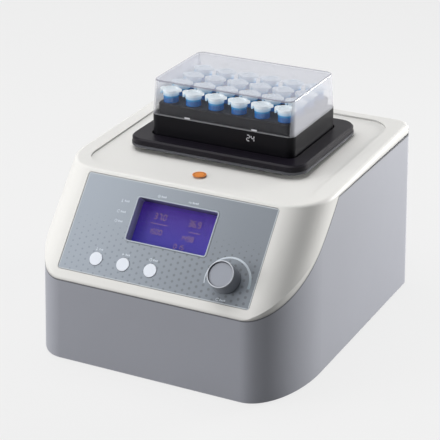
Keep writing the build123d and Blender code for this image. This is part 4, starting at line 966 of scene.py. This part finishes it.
# %% Deck mark
DECK_TILT = math.radians(1.27)
DECK_FRONT_Z = 142.5
SLOPE_RISE = DECK_FRONT_Z - SLOPE_AT.z
DECK_FRONT_Y = SLOPE_AT.y + UPHILL.y * SLOPE_RISE / math.sin(TILT)
deck_y = -46.0
deck_z = DECK_FRONT_Z + (deck_y - DECK_FRONT_Y) * math.tan(DECK_TILT)
MARK_AT = Vector((1.2, deck_y, deck_z))
MARK_R = 5.6
RING_R = 4.4
DECK = Matrix.Translation(MARK_AT * MM) @ Matrix.Rotation(DECK_TILT, 4, "X")
looks["mark_orange"] = moulded("mark_orange", (226, 138, 62), rough=0.4, depth=0.01)
looks["mark_dark"] = moulded("mark_dark", (150, 84, 40), rough=0.4, depth=0.01)
mark_mesh = bmesh.new()
disc(mark_mesh, 0, 0, MARK_R, -0.05, 0.10, DECK, 48)
new_piece("deck_mark", mark_mesh, looks["mark_orange"], "root")
ring_mesh = bmesh.new()
arc(ring_mesh, 0, 0, RING_R, 0, 360, 0.5, 0.08, 0.13, DECK, 48)
new_piece("deck_mark_ring", ring_mesh, looks["mark_dark"], "root")
print("deck mark at", [round(c, 2) for c in MARK_AT])

# %% [markdown]
# ## Marks on the block and the lid
# Blocks are exchangeable, so each one says how many tubes it takes. The number sits
# on the block's front and rides with it. Two short light plates in the foot of the lid
# stand for notches where it is gripped; their white is a painted highlight on them, and
# they ride with the lid.

# %% Block print
BLOCK_FRONT_Y = -6.95
COUNT_AT = (23.6, 162.2)
COUNT_HEIGHT = 4.8
UPRIGHT = Matrix.Rotation(math.radians(90), 4, "X")
FRONT = Matrix.Translation(Vector((0, BLOCK_FRONT_Y, 0)) * MM) @ UPRIGHT
looks["print_and_highlight_white"] = moulded("print_and_highlight_white", (214, 214, 220), rough=0.45, depth=0.005)
count_mesh = bmesh.new()
number(count_mesh, "24", *COUNT_AT, COUNT_HEIGHT, -0.05, 0.06, FRONT)
new_piece("block_count", count_mesh, looks["print_and_highlight_white"], "block")
NOTCH_Z = 171.9
NOTCH_REACH = 2.4
notch_highlight_mesh = bmesh.new()
# painted highlight: small white plates at the foot of the lid
for x in (-30.1, 29.9):
    notch = bar(x - NOTCH_REACH, NOTCH_Z, x + NOTCH_REACH, NOTCH_Z, 1.2)
    plate(notch_highlight_mesh, notch, -0.30, 0.04, FRONT)
new_piece("lid_notch_highlights", notch_highlight_mesh, looks["print_and_highlight_white"], "lid")
print("marks on block and lid ready")

# %% [markdown]
# ## Floor
# A product stands on a pale sweep of paper that has no visible edge. A curved
# backdrop would do it, but it shows from behind. Here a large flat floor mostly glows
# in the pale tone and only partly takes light, so that it keeps the soft shadow of the
# object. Rays that light the object see a darker floor, or its sides would be washed out.

# %% Floor
PALE = linear(240, 240, 240)
GLOSS_SHARE = 0.85
GLOW_SHARE = 0.92
BOUNCE_SHARE = 0.34


def paths(tree):
    """1 for a ray to the camera or through glass, GLOSS_SHARE in a gloss, otherwise 0."""
    node = tree.nodes.new("ShaderNodeLightPath")
    direct = Wire(tree, node.outputs["Is Camera Ray"])
    gloss = Wire(tree, node.outputs["Is Glossy Ray"])
    through = Wire(tree, node.outputs["Is Transmission Ray"])
    return direct.maths("MAXIMUM", gloss * GLOSS_SHARE).maths("MAXIMUM", through)


def floor_look():
    """Glows in the pale tone, and takes a little light so that shadows show."""
    look = Look("floor_pale", (236, 236, 236), Roughness=0.9)
    seen = paths(look.tree)
    cloud = look.noise(3.0, 2.0)
    pale = look.mix(look.scaled(0.99), look.scaled(1.01), cloud)
    look.drive("Base Color", look.mix(look.scaled(BOUNCE_SHARE), pale, seen))
    glow = look.node("Emission", 0, Color=PALE, Strength=1.0)
    blend = look.tree.nodes.new("ShaderNodeMixShader")
    feed(look.tree, blend.inputs[0], seen * GLOW_SHARE)
    look.tree.links.new(look.shader.outputs[0], blend.inputs[1])
    look.tree.links.new(glow.socket, blend.inputs[2])
    out = next(n for n in look.tree.nodes if n.type == "OUTPUT_MATERIAL")
    look.tree.links.new(blend.outputs[0], out.inputs[0])
    return look


floor_mesh = bmesh.new()
bmesh.ops.create_grid(floor_mesh, x_segments=4, y_segments=4, size=12.0)
floor_data = bpy.data.meshes.new("floor")
floor_mesh.to_mesh(floor_data)
floor_mesh.free()
floor_data.materials.append(floor_look().material)
floor = bpy.data.objects.new("floor", floor_data)
bpy.context.scene.collection.objects.link(floor)
print("floor ready")

# %% [markdown]
# ## Surround
# The world does two jobs here. To the camera and through clear plastic it is the same
# pale tone as the floor, and in a reflection nearly so. To every other ray it is a weak,
# even light that fills the shadows. A Light Path node decides how much of each is used.

# %% Surround
world = bpy.data.worlds.new("surround")
bpy.context.scene.world = world
world.use_nodes = True
tree = world.node_tree
tree.nodes.clear()
seen = tree.nodes.new("ShaderNodeBackground")
seen.inputs["Color"].default_value = PALE
seen.inputs["Strength"].default_value = 1.0
light = tree.nodes.new("ShaderNodeBackground")
light.inputs["Color"].default_value = (0.96, 0.98, 1.0, 1.0)
light.inputs["Strength"].default_value = 0.14
blend = tree.nodes.new("ShaderNodeMixShader")
feed(tree, blend.inputs[0], paths(tree))
tree.links.new(light.outputs[0], blend.inputs[1])
tree.links.new(seen.outputs[0], blend.inputs[2])
out = tree.nodes.new("ShaderNodeOutputWorld")
tree.links.new(blend.outputs[0], out.inputs[0])
print("surround ready")

# %% [markdown]
# ## Lamps
# Soft boxes are the usual lights for plastic, because a wide source gives a wide,
# calm highlight. One hangs above, one stands low at the front left, and one at the rear
# right runs along the side wall and makes it lighter towards the back. The two low
# ones have a narrow spread, like a honeycomb grid, so that less light spills on the
# floor, and the rear one shines only weakly in reflections.

# %% Lamps
MIDDLE = Vector((0.0, 0.0, 0.1))
LEFT_TONE = (1.0, 0.995, 0.985)
RIGHT_TONE = (1.0, 0.995, 0.98)


def lamp(name, place, size, power, colour=(1.0, 1.0, 1.0), spread=180, gloss=1.0):
    """A soft box aimed at the middle of the instrument; metres, watts and degrees."""
    data = bpy.data.lights.new(name, "AREA")
    data.spread = math.radians(spread)
    data.specular_factor = gloss
    data.shape = "RECTANGLE"
    data.size = size[0]
    data.size_y = size[1]
    data.energy = power
    data.color = colour
    item = bpy.data.objects.new(name, data)
    item.location = Vector(place)
    item.rotation_mode = "QUATERNION"
    item.rotation_quaternion = (MIDDLE - item.location).to_track_quat("-Z", "Y")
    bpy.context.scene.collection.objects.link(item)


lamp("lamp_top", (-0.4, -0.02, 1.55), (1.5, 1.5), 21.8)
lamp("lamp_left", (-1.24, -1.15, 0.46), (0.9, 0.8), 4.8, LEFT_TONE, spread=90)
lamp("lamp_right", (0.80, 0.98, 0.26), (0.5, 0.5), 5.5, RIGHT_TONE, spread=90, gloss=0.35)
bpy.context.scene.view_settings.view_transform = "Standard"
print("lamps ready")
